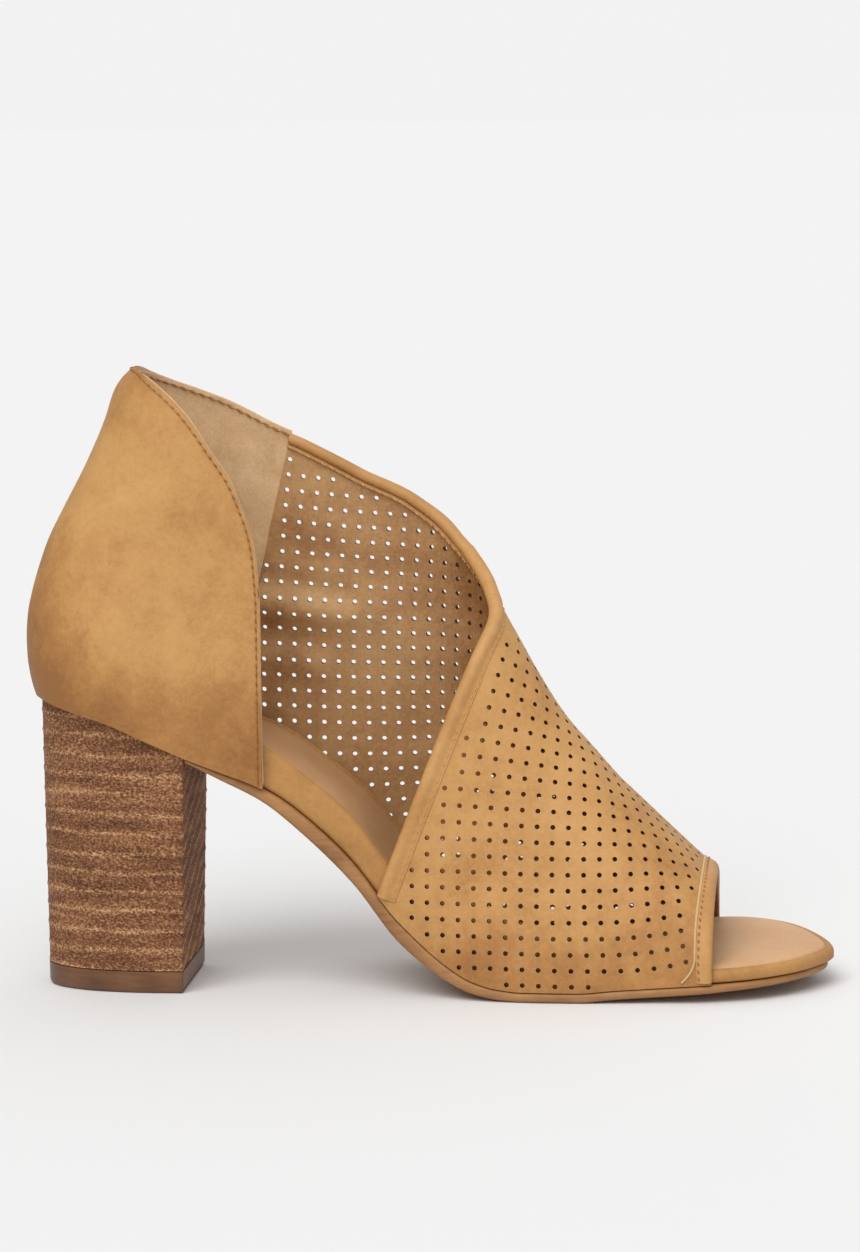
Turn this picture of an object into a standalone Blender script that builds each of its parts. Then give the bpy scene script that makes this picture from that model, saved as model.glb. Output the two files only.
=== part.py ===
"""Left shoe: an open-toed ankle shoe with a cut-out inner side, on a high stacked block heel.

The toe points along +X, the outer side of the foot is +Y, and +Z is up. The origin is on the
floor, at the middle of the heel's floor face. All sizes are in metres.

The tables describe the last, the foot-shaped form that the upper is pulled over. Their rows
hold shares of the named sizes. "Along" always runs from the back of the seat, 0, to the tip
of the toe, 1.
"""

import math
from collections import namedtuple

import bmesh
import bpy
from mathutils import Vector
from mathutils.bvhtree import BVHTree

# Sizes of the last
BOARD_LENGTH = 0.2316
BOARD_BACK = -0.0204
BALL_WIDTH = 0.0716
SEAT_HEIGHT = 0.0870
TOE_SPRING = 0.0046
INSTEP_HEIGHT = 0.0897
BACK_HEIGHT = 0.0935
BACK_LEAN = 0.0269
COUNTER_SWELL = 0.0022
SWELL_HEIGHT = 0.0600
UPRIGHT_HEIGHT = 0.0120
FOLLOW_HEIGHT = 0.0200

# Thicknesses, widths and the clearance that neighbouring pieces keep
GAP = 0.0003
OUTSOLE_THICKNESS = 0.0030
BOARD_THICKNESS = 0.0040
INSOLE_THICKNESS = 0.0012
INSOLE_MARGIN = 0.0012
VAMP_WALL = 0.0016
QUARTER_WALL = 0.0024
BINDING_THICKNESS = 0.0008
TOPLINE_BINDING_WIDTH = 0.0048
TOE_BINDING_WIDTH = 0.0050
BINDING_END_GAP = 0.0008
TOPLINE_BINDING_STEP = 0.0025
TOE_BINDING_STEP = 0.0035
THROAT_ROUNDING = 0.0012

# Block heel
HEEL_TIP_LENGTH = 0.0430
HEEL_TIP_WIDTH = 0.0426
HEEL_TIP_HEIGHT = 0.0065
HEEL_TOP_WIDTH = 0.0486
BREAST_LEAN = 0.0024
LAYER_HEIGHT = 0.0058
LAYER_BULGE = 0.00035
CORNER_POWER = 2.4

# Places along the last
FAN_ALONG = 0.101
SEAM_ALONG = 0.209
COUNTER_FRONT_ALONG = 0.2846
THROAT_ALONG = 0.4335
TOE_RIM_ALONG = 0.849

# Mesh densities
WALL_ROWS = 12
VAMP_RIBS = 18
SEAT_RIBS = 7
SOLE_STATIONS = 42
OUTLINE_STEPS = 14

# Bottom of the shoe in side view: rise of the outsole's underside (share of SEAT_HEIGHT) and
# toe spring (share of TOE_SPRING), then heights of outsole and board, as shares of theirs.
SoleRow = namedtuple("SoleRow", "along rise spring outsole board")
SOLE_ROWS = (
    SoleRow(0.000, 0.994, 0.00, 0.00, 1.20),
    SoleRow(0.088, 0.930, 0.00, 0.00, 1.20),
    SoleRow(0.148, 0.855, 0.00, 0.17, 1.50),
    SoleRow(0.192, 0.791, 0.00, 0.47, 2.00),
    SoleRow(0.235, 0.731, 0.00, 0.90, 2.35),
    SoleRow(0.287, 0.655, 0.00, 1.45, 2.55),
    SoleRow(0.339, 0.539, 0.00, 2.05, 2.50),
    SoleRow(0.399, 0.380, 0.00, 2.30, 2.70),
    SoleRow(0.459, 0.183, 0.00, 2.15, 2.80),
    SoleRow(0.520, 0.060, 0.00, 1.55, 2.10),
    SoleRow(0.550, 0.023, 0.00, 1.25, 1.75),
    SoleRow(0.580, 0.006, 0.00, 1.08, 1.50),
    SoleRow(0.615, 0.000, 0.00, 1.00, 1.30),
    SoleRow(0.684, 0.000, 0.00, 1.00, 1.10),
    SoleRow(0.727, 0.000, 0.20, 0.95, 0.98),
    SoleRow(0.788, 0.000, 0.40, 0.93, 0.88),
    SoleRow(0.848, 0.000, 0.60, 0.91, 0.82),
    SoleRow(0.908, 0.000, 0.80, 0.91, 0.78),
    SoleRow(1.000, 0.000, 1.00, 0.91, 0.74),
)

# How far the outsole stands out past the board: it carries the upper's wall at the ball, and
# draws in under the bare board at the waist and at the toe.
WeltRow = namedtuple("WeltRow", "along out")
WELT_ROWS = (
    WeltRow(0.192, 0.0016),
    WeltRow(0.290, 0.0010),
    WeltRow(0.400, 0.0006),
    WeltRow(0.470, 0.0024),
    WeltRow(0.820, 0.0024),
    WeltRow(0.880, 0.0004),
    WeltRow(1.000, -0.0018),
)

# Plan outline of the board, from the back round the inner side (-Y) to the toe and back along
# the outer side. Across is a share of BALL_WIDTH.
OutlineRow = namedtuple("OutlineRow", "along across")
OUTLINE_ROWS = (
    OutlineRow(0.000, 0.000),
    OutlineRow(0.022, -0.189),
    OutlineRow(0.101, -0.316),
    OutlineRow(0.209, -0.316),
    OutlineRow(0.326, -0.297),
    OutlineRow(0.434, -0.325),
    OutlineRow(0.537, -0.385),
    OutlineRow(0.649, -0.427),
    OutlineRow(0.779, -0.425),
    OutlineRow(0.883, -0.416),
    OutlineRow(0.943, -0.324),
    OutlineRow(0.980, -0.189),
    OutlineRow(1.000, -0.028),
    OutlineRow(0.986, 0.185),
    OutlineRow(0.952, 0.390),
    OutlineRow(0.891, 0.528),
    OutlineRow(0.801, 0.577),
    OutlineRow(0.693, 0.577),
    OutlineRow(0.572, 0.517),
    OutlineRow(0.455, 0.416),
    OutlineRow(0.339, 0.356),
    OutlineRow(0.218, 0.338),
    OutlineRow(0.101, 0.321),
    OutlineRow(0.022, 0.189),
)
# Ribs of the last: each rib is an arch over the foot in a plane that leans forward by tilt
# (degrees). Crest is its height (share of INSTEP_HEIGHT), centre the crest's place across
# (share of BALL_WIDTH), power the arch's squareness, swell the counter's fullness, and reach
# the angle (degrees) that the outer side's topline climbs to, 90 being the crest.
RibRow = namedtuple("RibRow", "along tilt crest centre power swell reach")
RIB_ROWS = (
    RibRow(0.101, 17.0, 2.12, 0.000, 2.40, 1.00, 25.6),
    RibRow(0.209, 14.0, 2.06, 0.000, 2.40, 0.80, 26.5),
    RibRow(0.282, 16.6, 1.84, 0.000, 2.40, 0.55, 29.6),
    RibRow(0.347, 18.7, 1.50, 0.000, 2.40, 0.30, 40.2),
    RibRow(0.390, 20.0, 1.20, 0.000, 2.30, 0.15, 57.6),
    RibRow(0.416, 20.9, 1.08, 0.000, 2.20, 0.08, 71.8),
    RibRow(0.4385, 21.5, 0.99, 0.000, 2.15, 0.00, 90.0),
    RibRow(0.520, 17.0, 0.935, 0.000, 2.00, 0.00, 90.0),
    RibRow(0.606, 12.6, 0.802, 0.010, 2.00, 0.00, 90.0),
    RibRow(0.693, 8.2, 0.625, 0.020, 2.10, 0.00, 90.0),
    RibRow(0.779, 3.8, 0.440, 0.030, 2.20, 0.00, 90.0),
    RibRow(0.849, 0.0, 0.279, 0.040, 2.25, 0.00, 90.0),
)

# The inner side of the counter, whose ribs straighten up towards its front edge.
CounterRow = namedtuple("CounterRow", "along tilt reach")
COUNTER_ROWS = (
    CounterRow(0.101, 17.0, 23.6),
    CounterRow(0.153, 12.0, 22.9),
    CounterRow(0.196, 8.0, 22.5),
    CounterRow(0.239, 4.0, 21.7),
    CounterRow(0.265, 1.7, 20.9),
    CounterRow(0.278, 0.5, 19.4),
    CounterRow(0.2846, 0.0, 15.2),
)

# Back curve of the last: climb above the seat (share of BACK_HEIGHT), and how far forward the
# curve has moved (share of BACK_LEAN).
BackRow = namedtuple("BackRow", "climb forward")
BACK_ROWS = (
    BackRow(0.000, 0.000),
    BackRow(0.060, -0.056),
    BackRow(0.118, -0.085),
    BackRow(0.180, -0.090),
    BackRow(0.251, -0.071),
    BackRow(0.324, -0.015),
    BackRow(0.394, 0.060),
    BackRow(0.479, 0.171),
    BackRow(0.571, 0.338),
    BackRow(0.721, 0.620),
    BackRow(0.859, 0.840),
    BackRow(0.945, 0.945),
    BackRow(0.975, 1.010),
    BackRow(1.000, 1.110),
)
BACK_REACH_POWER_OUTER = 1.0
BACK_REACH_POWER_INNER = 1.9

# Edge rounding of each sole layer: (inset, share of the layer's height), from below upwards.
OUTSOLE_EDGE = ((0.0016, 0.0), (0.0004, 0.14), (0.0, 0.45), (0.0, 0.85), (0.0003, 1.0))
BOARD_EDGE = ((0.0008, 0.0), (0.0, 0.12), (0.0, 0.62), (0.0005, 0.86), (0.0016, 1.0))
INSOLE_EDGE = ((0.0002, 0.0), (0.0, 0.4), (0.0003, 0.8), (0.0011, 1.0))

INNER, OUTER = -1, 1


def row_value(rows, name, at):
    """A table's column at a place between its rows, smooth and without overshoot."""
    keys = [row[0] for row in rows]
    values = [getattr(row, name) for row in rows]
    if at <= keys[0]:
        return values[0]
    if at >= keys[-1]:
        return values[-1]
    steps = [(values[k + 1] - values[k]) / (keys[k + 1] - keys[k]) for k in range(len(keys) - 1)]

    def slope(k):
        before = steps[max(k - 1, 0)]
        after = steps[min(k, len(steps) - 1)]
        if before * after <= 0:
            return 0.0
        return 2 * before * after / (before + after)

    low = max(k for k in range(len(keys) - 1) if keys[k] <= at)
    span = keys[low + 1] - keys[low]
    t = (at - keys[low]) / span
    start = (1 + 2 * t) * (1 - t) ** 2 * values[low] + t * (1 - t) ** 2 * span * slope(low)
    end = t * t * (3 - 2 * t) * values[low + 1] - t * t * (1 - t) * span * slope(low + 1)
    return start + end


def place(along):
    """X of a share of the board's length."""
    return BOARD_BACK + along * BOARD_LENGTH


def share(x):
    """Share of the board's length at an X."""
    return (x - BOARD_BACK) / BOARD_LENGTH


# Side view of the bottom


def underside(x):
    """Height of the outsole's underside above the floor."""
    along = share(x)
    rise = row_value(SOLE_ROWS, "rise", along) * SEAT_HEIGHT
    return rise + row_value(SOLE_ROWS, "spring", along) * TOE_SPRING


def feather(x):
    """Height of the line where upper and board sit on the outsole, or on the heel."""
    return underside(x) + row_value(SOLE_ROWS, "outsole", share(x)) * OUTSOLE_THICKNESS


def board_top(x):
    return feather(x) + row_value(SOLE_ROWS, "board", share(x)) * BOARD_THICKNESS


# Plan view of the bottom


def outline_points():
    """The board's closed outline as a smooth curve through OUTLINE_ROWS."""
    nodes = [Vector((place(row.along), row.across * BALL_WIDTH)) for row in OUTLINE_ROWS]
    count = len(nodes)
    points = []
    for k in range(count):
        before, start, end, after = (nodes[(k + j) % count] for j in (-1, 0, 1, 2))
        for step in range(OUTLINE_STEPS):
            t = step / OUTLINE_STEPS
            straight = (end - before) * t
            bend = (2 * before - 5 * start + 4 * end - after) * t * t
            turn = (3 * start - before - 3 * end + after) * t**3
            points.append(0.5 * (2 * start + straight + bend + turn))
    return points


OUTLINE = outline_points()


def grown_outline(grow):
    """The outline pushed outwards by grow(x), as its inner-side and outer-side chains."""
    count = len(OUTLINE)
    moved = []
    for k, point in enumerate(OUTLINE):
        run = OUTLINE[(k + 1) % count] - OUTLINE[k - 1]
        outward = Vector((-run.y, run.x)).normalized() * -1
        if outward.dot(point - Vector((place(0.5), 0))) < 0:
            outward = outward * -1
        moved.append(point + outward * grow(point.x))
    tip = max(range(count), key=lambda k: moved[k].x)
    inner = moved[: tip + 1]
    outer = [moved[0]] + moved[:tip - 1:-1]
    return inner, outer


def chain_y(chain, x):
    """Y of a chain of outline points at an X."""
    for start, end in zip(chain, chain[1:]):
        if start.x <= x <= end.x:
            t = (x - start.x) / (end.x - start.x)
            return start.y + t * (end.y - start.y)
    return chain[0].y if x < chain[0].x else chain[-1].y


LAST_CHAINS = dict(zip((INNER, OUTER), grown_outline(lambda x: GAP)))


# Surface of the last


def rib_point(side, along, angle, tilt=None):
    """Point of a rib: angle 0 is the feather edge and pi / 2 the crest."""
    x = place(along)
    crest = row_value(RIB_ROWS, "crest", along) * INSTEP_HEIGHT
    centre = row_value(RIB_ROWS, "centre", along) * BALL_WIDTH
    power = 2 / row_value(RIB_ROWS, "power", along)
    lean = math.radians(row_value(RIB_ROWS, "tilt", along) if tilt is None else tilt)
    climb = crest * max(math.sin(angle), 0) ** power
    follow = climb
    if climb > UPRIGHT_HEIGHT:
        fade = 1 - math.exp((UPRIGHT_HEIGHT - climb) / FOLLOW_HEIGHT)
        follow = UPRIGHT_HEIGHT + FOLLOW_HEIGHT * fade
    reach = chain_y(LAST_CHAINS[side], x + follow * math.sin(lean)) - centre
    y = centre + reach * max(math.cos(angle), 0) ** power
    t = min(climb / SWELL_HEIGHT, 1)
    fullness = row_value(RIB_ROWS, "swell", along) * 6.75 * t * (1 - t) ** 2
    y += side * COUNTER_SWELL * fullness
    return Vector((x + climb * math.sin(lean), y, feather(x) + climb * math.cos(lean)))


def rib_at_height(side, z):
    """X and Y of the rib where the sides of the last meet its round back, at a height."""
    low, high = 0.0, math.pi / 2
    for _ in range(30):
        middle = (low + high) / 2
        if rib_point(side, FAN_ALONG, middle).z < z:
            low = middle
        else:
            high = middle
    point = rib_point(side, FAN_ALONG, low)
    return point.x, point.y


def back_x(z):
    """X of the back curve at a height."""
    climb = (z - feather(BOARD_BACK)) / BACK_HEIGHT
    return BOARD_BACK - GAP + row_value(BACK_ROWS, "forward", climb) * BACK_LEAN


def seat_point(side, turn, z):
    """Point of the round back: turn 0 is the middle of the back and pi / 2 the side."""
    x_side, y_side = rib_at_height(side, z)
    x = x_side - (x_side - back_x(z)) * math.cos(turn)
    return Vector((x, y_side * math.sin(turn), z))


def side_rib(side, along, reach, tilt=None):
    """A rib of one side from the feather edge up to an angle, in degrees."""
    top = math.radians(reach)
    return [rib_point(side, along, top * k / WALL_ROWS, tilt) for k in range(WALL_ROWS + 1)]


def seat_rib(side, turn):
    """A rib of the round back, from the feather edge up to the topline."""
    outer = side == OUTER
    rows = RIB_ROWS if outer else COUNTER_ROWS
    power = BACK_REACH_POWER_OUTER if outer else BACK_REACH_POWER_INNER
    top_side = rib_point(side, FAN_ALONG, math.radians(rows[0].reach)).z
    top_back = feather(BOARD_BACK) + BACK_HEIGHT
    top = top_side + (top_back - top_side) * (1 - (1 - math.cos(turn)) ** power)
    z = feather(BOARD_BACK)
    for _ in range(6):
        z = feather(seat_point(side, turn, z).x)
    spread = side_rib(side, FAN_ALONG, rows[0].reach)
    shares = [(point.z - spread[0].z) / (spread[-1].z - spread[0].z) for point in spread]
    return [seat_point(side, turn, z + (top - z) * climb) for climb in shares]


def vamp_stations(angle):
    """Places along of the vamp's ribs at an angle, from the throat to the toe rim."""
    start = THROAT_ALONG + THROAT_ROUNDING / BOARD_LENGTH * math.sin(angle) ** 6
    return [start + (TOE_RIM_ALONG - start) * k / VAMP_RIBS for k in range(VAMP_RIBS + 1)]


# Ribs along the outer side's wall behind the vamp, then on the inner side of the counter
OUTER_WALL_STATIONS = (
    0.434, 0.429, 0.423, 0.414, 0.403, 0.390, 0.374, 0.356, 0.335, 0.311, 0.286, 0.260, 0.234,
    SEAM_ALONG + 0.002, SEAM_ALONG, 0.183, 0.156, 0.129, FAN_ALONG,
)
COUNTER_STATIONS = (0.128, 0.155, 0.182, 0.209, 0.232, 0.251, 0.266, 0.277, COUNTER_FRONT_ALONG)


def wall_ribs():
    """All ribs that stand on the feather edge, from the toe rim round the back of the shoe to
    the counter's front edge. Each is (points, wall thickness)."""
    ribs = []
    for along in reversed(vamp_stations(math.pi / 2)):
        ribs.append((side_rib(OUTER, along, 90.0), VAMP_WALL))
    for along in OUTER_WALL_STATIONS:
        wall = QUARTER_WALL if along <= SEAM_ALONG else VAMP_WALL
        reach = row_value(RIB_ROWS, "reach", along)
        ribs.append((side_rib(OUTER, along, reach), wall))
    turns = [k / SEAT_RIBS * math.pi / 2 for k in range(SEAT_RIBS)]
    for turn in reversed(turns[1:]):
        ribs.append((seat_rib(OUTER, turn), QUARTER_WALL))
    for turn in turns:
        ribs.append((seat_rib(INNER, turn), QUARTER_WALL))
    for along in (FAN_ALONG,) + COUNTER_STATIONS:
        tilt = row_value(COUNTER_ROWS, "tilt", along)
        reach = row_value(COUNTER_ROWS, "reach", along)
        ribs.append((side_rib(INNER, along, reach, tilt), QUARTER_WALL))
    return ribs


# Mesh building


def material(name, colour, roughness):
    """A Principled material with an sRGB colour."""
    made = bpy.data.materials.new(name)
    made.use_nodes = True
    shader = made.node_tree.nodes["Principled BSDF"]
    linear = [c / 12.92 if c <= 0.04045 else ((c + 0.055) / 1.055) ** 2.4 for c in colour]
    shader.inputs["Base Color"].default_value = (*linear, 1)
    shader.inputs["Roughness"].default_value = roughness
    return made


def add_object(name, bm, finish, sharp=40):
    """Makes an object of a bmesh, with smooth shading between its sharp edges."""
    bmesh.ops.recalc_face_normals(bm, faces=bm.faces)
    mesh = bpy.data.meshes.new(name)
    bm.to_mesh(mesh)
    bm.free()
    mesh.materials.append(finish)
    mesh.shade_smooth()
    mesh.set_sharp_from_angle(angle=math.radians(sharp))
    made = bpy.data.objects.new(name, mesh)
    bpy.context.scene.collection.objects.link(made)
    return made


def join_rings(bm, rings, closed=True):
    """Quads between rings of vertices that have equal counts."""
    for lower, upper in zip(rings, rings[1:]):
        count = len(lower)
        for k in range(count if closed else count - 1):
            after = (k + 1) % count
            bm.faces.new((lower[k], lower[after], upper[after], upper[k]))


def sole_stations(back, front, flat_back):
    """X of a ring's stations. Away from the ends all layers share them, so that they nest."""
    shared = [place(k / SOLE_STATIONS) for k in range(SOLE_STATIONS + 1)]
    margin = BOARD_LENGTH * 0.03
    shared = [x for x in shared if back + margin < x < front - margin]
    front_end = [front - (front - shared[-1]) * (1 - t) ** 2 for t in (0.25, 0.5, 0.75, 1)]
    if flat_back:
        return [back] + shared + front_end
    back_end = [back + (shared[0] - back) * t**2 for t in (0, 0.25, 0.5, 0.75)]
    return back_end + shared + front_end


def layer(name, low, high, grow, edge, finish, flat_back=None):
    """A sole layer between the heights low(x) and high(x), with a rounded edge. It runs round
    the whole outline, or from a straight back edge at an X."""
    bm = bmesh.new()
    rings = []
    for inset, climb in edge:
        inner, outer = grown_outline(lambda x: grow(x) - inset)
        back = inner[0].x + 0.00005 if flat_back is None else flat_back
        front = min(inner[-1].x, outer[-1].x) - 0.00005
        stations = sole_stations(back, front, flat_back is not None)
        sides = [(x, chain_y(inner, x)) for x in stations]
        sides += [(x, chain_y(outer, x)) for x in reversed(stations)]
        heights = [low(x) + (high(x) - low(x)) * climb for x, _ in sides]
        rings.append([bm.verts.new((x, y, z)) for (x, y), z in zip(sides, heights)])
    join_rings(bm, rings)
    count = len(rings[0])
    for ring in (rings[0], rings[-1]):
        for k in range(count // 2 - 1):
            bm.faces.new((ring[k], ring[k + 1], ring[count - 2 - k], ring[count - 1 - k]))
    return add_object(name, bm, finish)


def outsole(finish):
    """The thin sole, from the heel's breast down the waist to the toe."""
    back = HEEL_TIP_LENGTH / 2 + BREAST_LEAN + GAP
    grow = lambda x: row_value(WELT_ROWS, "out", share(x))
    top = lambda x: feather(x) - GAP
    return layer("outsole", underside, top, grow, OUTSOLE_EDGE, finish, flat_back=back)


def insole_board(finish):
    """The leather-wrapped board that the upper is lasted to. It shows at the waist and toe."""
    return layer("insole_board", feather, board_top, lambda x: 0.0, BOARD_EDGE, finish)


def insole(finish):
    """The padded sock on the board."""
    low = lambda x: board_top(x) + GAP
    high = lambda x: board_top(x) + GAP + INSOLE_THICKNESS
    return layer("insole", low, high, lambda x: -INSOLE_MARGIN, INSOLE_EDGE, finish)


def last_surface():
    """The part of the last that leather covers, as one open surface. Also returns each
    vertex's wall thickness and the topline and toe rim as chains of vertices."""
    bm = bmesh.new()
    walls = {}
    grid = []
    for points, wall in wall_ribs():
        column = [bm.verts.new(point) for point in points]
        walls.update((vertex, wall) for vertex in column)
        grid.append(column)
    join_rings(bm, grid, closed=False)
    crest = [column[-1] for column in reversed(grid[: VAMP_RIBS + 1])]
    lines = []
    for row in range(WALL_ROWS):
        angle = row / WALL_ROWS * math.pi / 2
        line = [bm.verts.new(rib_point(INNER, along, angle)) for along in vamp_stations(angle)]
        walls.update((vertex, VAMP_WALL) for vertex in line)
        lines.append(line)
    lines.append(crest)
    join_rings(bm, lines, closed=False)
    bmesh.ops.recalc_face_normals(bm, faces=bm.faces)
    back = grid[VAMP_RIBS + 1 + len(OUTER_WALL_STATIONS) + SEAT_RIBS]
    if sum((face.normal.x for face in back[0].link_faces)) > 0:
        bmesh.ops.reverse_faces(bm, faces=bm.faces)
    bm.normal_update()
    seam = VAMP_RIBS + OUTER_WALL_STATIONS.index(SEAM_ALONG)
    topline = [column[-1] for column in reversed(grid[VAMP_RIBS + 1 : seam])]
    topline += [line[0] for line in reversed(lines)]
    toe_rim = [line[-1] for line in lines] + list(reversed(grid[0][:-1]))
    return bm, walls, topline, toe_rim


def upper(bm, walls, finish):
    """One hollow wall round the foot: open at the collar, the inner cut-out and the toe, and
    underneath. Behind the outer seam the quarter laps over the vamp as a step."""
    shell = bmesh.new()
    inside, outside = {}, {}
    for vertex in bm.verts:
        normal = vertex.normal.copy()
        on_feather = abs(vertex.co.z - feather(vertex.co.x)) < GAP / 100
        if on_feather:
            normal = Vector((normal.x, normal.y, 0)).normalized()
        moved = vertex.co + normal * walls[vertex]
        if on_feather:
            moved.z = feather(moved.x)
        inside[vertex] = shell.verts.new(vertex.co)
        outside[vertex] = shell.verts.new(moved)
    for face in bm.faces:
        shell.faces.new([outside[v] for v in face.verts])
        shell.faces.new([inside[v] for v in reversed(face.verts)])
    for edge in bm.edges:
        if edge.is_boundary:
            loop = edge.link_loops[0]
            start, end = loop.vert, loop.link_loop_next.vert
            shell.faces.new((inside[start], inside[end], outside[end], outside[start]))
    return add_object("upper", shell, finish, sharp=50)


def binding(name, path, width, skin, finish):
    """A strip folded over an edge of the vamp: it caps the edge and laps onto the outside."""
    bm = bmesh.new()
    over = VAMP_WALL + GAP
    section = (
        (width, over),
        (width / 2, over),
        (-GAP, over),
        (-GAP, GAP),
        (-GAP - BINDING_THICKNESS, GAP),
        (-GAP - BINDING_THICKNESS, over + BINDING_THICKNESS),
        (width / 2, over + BINDING_THICKNESS),
        (width, over + BINDING_THICKNESS),
    )
    middle = sum((point for point, _ in path), Vector()) / len(path)
    rings = []
    for k, (point, normal) in enumerate(path):
        run = path[min(k + 1, len(path) - 1)][0] - path[max(k - 1, 0)][0]
        inward = normal.cross(run).normalized()
        ring = []
        for depth, lift in section:
            if depth > 0:
                spot, spot_normal, _, _ = skin.find_nearest(point + inward * depth)
                ring.append(bm.verts.new(spot + spot_normal * lift))
            else:
                ring.append(bm.verts.new(point + inward * depth + normal * lift))
        rings.append(ring)
    join_rings(bm, rings)
    bm.faces.new(rings[0])
    bm.faces.new(list(reversed(rings[-1])))
    return add_object(name, bm, finish)


def resampled(chain, spacing, trim):
    """Evenly spaced (point, normal) pairs along a chain of vertices, short of its ends."""
    points = [(vertex.co.copy(), vertex.normal.copy()) for vertex in chain]
    lengths = [0.0]
    for (start, _), (end, _) in zip(points, points[1:]):
        lengths.append(lengths[-1] + (end - start).length)
    usable = lengths[-1] - 2 * trim
    count = max(round(usable / spacing), 2)
    path = []
    for k in range(count + 1):
        at = trim + usable * k / count
        low = max(j for j in range(len(points) - 1) if lengths[j] <= at)
        t = (at - lengths[low]) / (lengths[low + 1] - lengths[low])
        point = points[low][0].lerp(points[low + 1][0], t)
        path.append((point, points[low][1].lerp(points[low + 1][1], t).normalized()))
    return path


def heel_ring(bm, length, width, shift, z, count=28):
    """A D-shaped ring: a flat breast in front and a round back."""
    ring = []
    for k in range(count + 1):
        turn = -math.pi / 2 - math.pi * k / count
        round_x = abs(math.cos(turn)) ** (2 / CORNER_POWER)
        round_y = abs(math.sin(turn)) ** (2 / CORNER_POWER) * math.copysign(1, math.sin(turn))
        ring.append(bm.verts.new((shift + length / 2 - length * round_x, width / 2 * round_y, z)))
    return ring


def heel_size(z):
    """Length, width and forward shift of the heel at a height: it widens towards the seat."""
    climb = z / (SEAT_HEIGHT + HEEL_TIP_HEIGHT)
    length = HEEL_TIP_LENGTH + BREAST_LEAN * climb
    width = HEEL_TIP_WIDTH + (HEEL_TOP_WIDTH - HEEL_TIP_WIDTH) * climb
    return length, width, BREAST_LEAN * climb / 2


def heel_tip(finish):
    """The top lift that meets the floor."""
    bm = bmesh.new()
    chamfer = 0.0006
    rings = []
    for z, inset in ((0, chamfer), (chamfer, 0), (HEEL_TIP_HEIGHT, 0)):
        length, width, shift = heel_size(z)
        rings.append(heel_ring(bm, length - 2 * inset, width - 2 * inset, shift, z))
    join_rings(bm, rings)
    bm.faces.new(rings[0])
    bm.faces.new(rings[-1])
    return add_object("heel_tip", bm, finish)


def heel_stack(finish):
    """The stacked block, each layer a little proud of its joints, cut to the slanting seat."""
    bm = bmesh.new()
    bottom = HEEL_TIP_HEIGHT + GAP
    top = SEAT_HEIGHT + HEEL_TIP_HEIGHT
    layers = math.ceil((top - bottom) / LAYER_HEIGHT)
    rings = []
    for k in range(layers):
        for t, out in ((0.0, 0.0), (0.25, 1.0), (0.75, 1.0)):
            z = bottom + (k + t) * LAYER_HEIGHT
            length, width, shift = heel_size(z)
            bulge = 2 * LAYER_BULGE * (out - 1)
            rings.append(heel_ring(bm, length + bulge, width + bulge, shift, z))
    join_rings(bm, rings)
    bm.faces.new(rings[0])
    bm.faces.new(rings[-1])
    block = add_object("heel_stack", bm, finish)
    cut = block.modifiers.new("seat", "BOOLEAN")
    cut.operation = "DIFFERENCE"
    cut.solver = "EXACT"
    cut.object = seat_cutter(top + LAYER_HEIGHT * 2)
    return block


def seat_cutter(top):
    """Everything above the seat line, as a solid to cut the heel with."""
    bm = bmesh.new()
    low, high = -HEEL_TIP_LENGTH, HEEL_TIP_LENGTH
    steps = 24
    half = HEEL_TOP_WIDTH
    rings = []
    for y in (-half, half):
        xs = [low + (high - low) * k / steps for k in range(steps + 1)]
        line = [bm.verts.new((x, y, feather(x) - GAP)) for x in xs]
        rings.append(line + [bm.verts.new((high, y, top)), bm.verts.new((low, y, top))])
    join_rings(bm, rings)
    bm.faces.new(rings[0])
    bm.faces.new(rings[-1])
    cutter = add_object("seat_cutter", bm, bpy.data.materials[0])
    cutter.hide_render = True
    cutter.display_type = "WIRE"
    return cutter


def main():
    for old in list(bpy.data.objects):
        bpy.data.objects.remove(old)
    tan_leather = material("tan_leather", (0.76, 0.58, 0.36), 0.55)
    edge_leather = material("edge_leather", (0.74, 0.56, 0.35), 0.55)
    sock_leather = material("sock_leather", (0.78, 0.64, 0.46), 0.60)
    sole_resin = material("sole_resin", (0.70, 0.52, 0.33), 0.50)
    stacked_leather = material("stacked_leather", (0.55, 0.38, 0.25), 0.70)
    tip_rubber = material("tip_rubber", (0.48, 0.31, 0.20), 0.50)
    outsole(sole_resin)
    insole_board(tan_leather)
    insole(sock_leather)
    surface, walls, topline, toe_rim = last_surface()
    skin = BVHTree.FromBMesh(surface)
    upper(surface, walls, tan_leather)
    collar = resampled(topline, TOPLINE_BINDING_STEP, BINDING_END_GAP)
    rim = resampled(toe_rim, TOE_BINDING_STEP, BINDING_END_GAP)
    binding("topline_binding", collar, TOPLINE_BINDING_WIDTH, skin, edge_leather)
    binding("toe_binding", rim, TOE_BINDING_WIDTH, skin, edge_leather)
    surface.free()
    heel_tip(tip_rubber)
    heel_stack(stacked_leather)


main()
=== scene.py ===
"""Looks of the left shoe: perforated tan leather, suede lining, a stacked heel and their finish.

Every leather sheet is worked out again from the last, with the same sizes and tables as the
solids, but finely: the vamp has its punched holes, edges are folded and sewn, and creases are
laid on one by one. All sizes are in metres.
"""

import math
from collections import namedtuple

import bmesh
import bpy
import numpy as np
from mathutils import Euler, Matrix, Vector, noise
from mathutils.bvhtree import BVHTree
from mathutils.geometry import barycentric_transform


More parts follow.
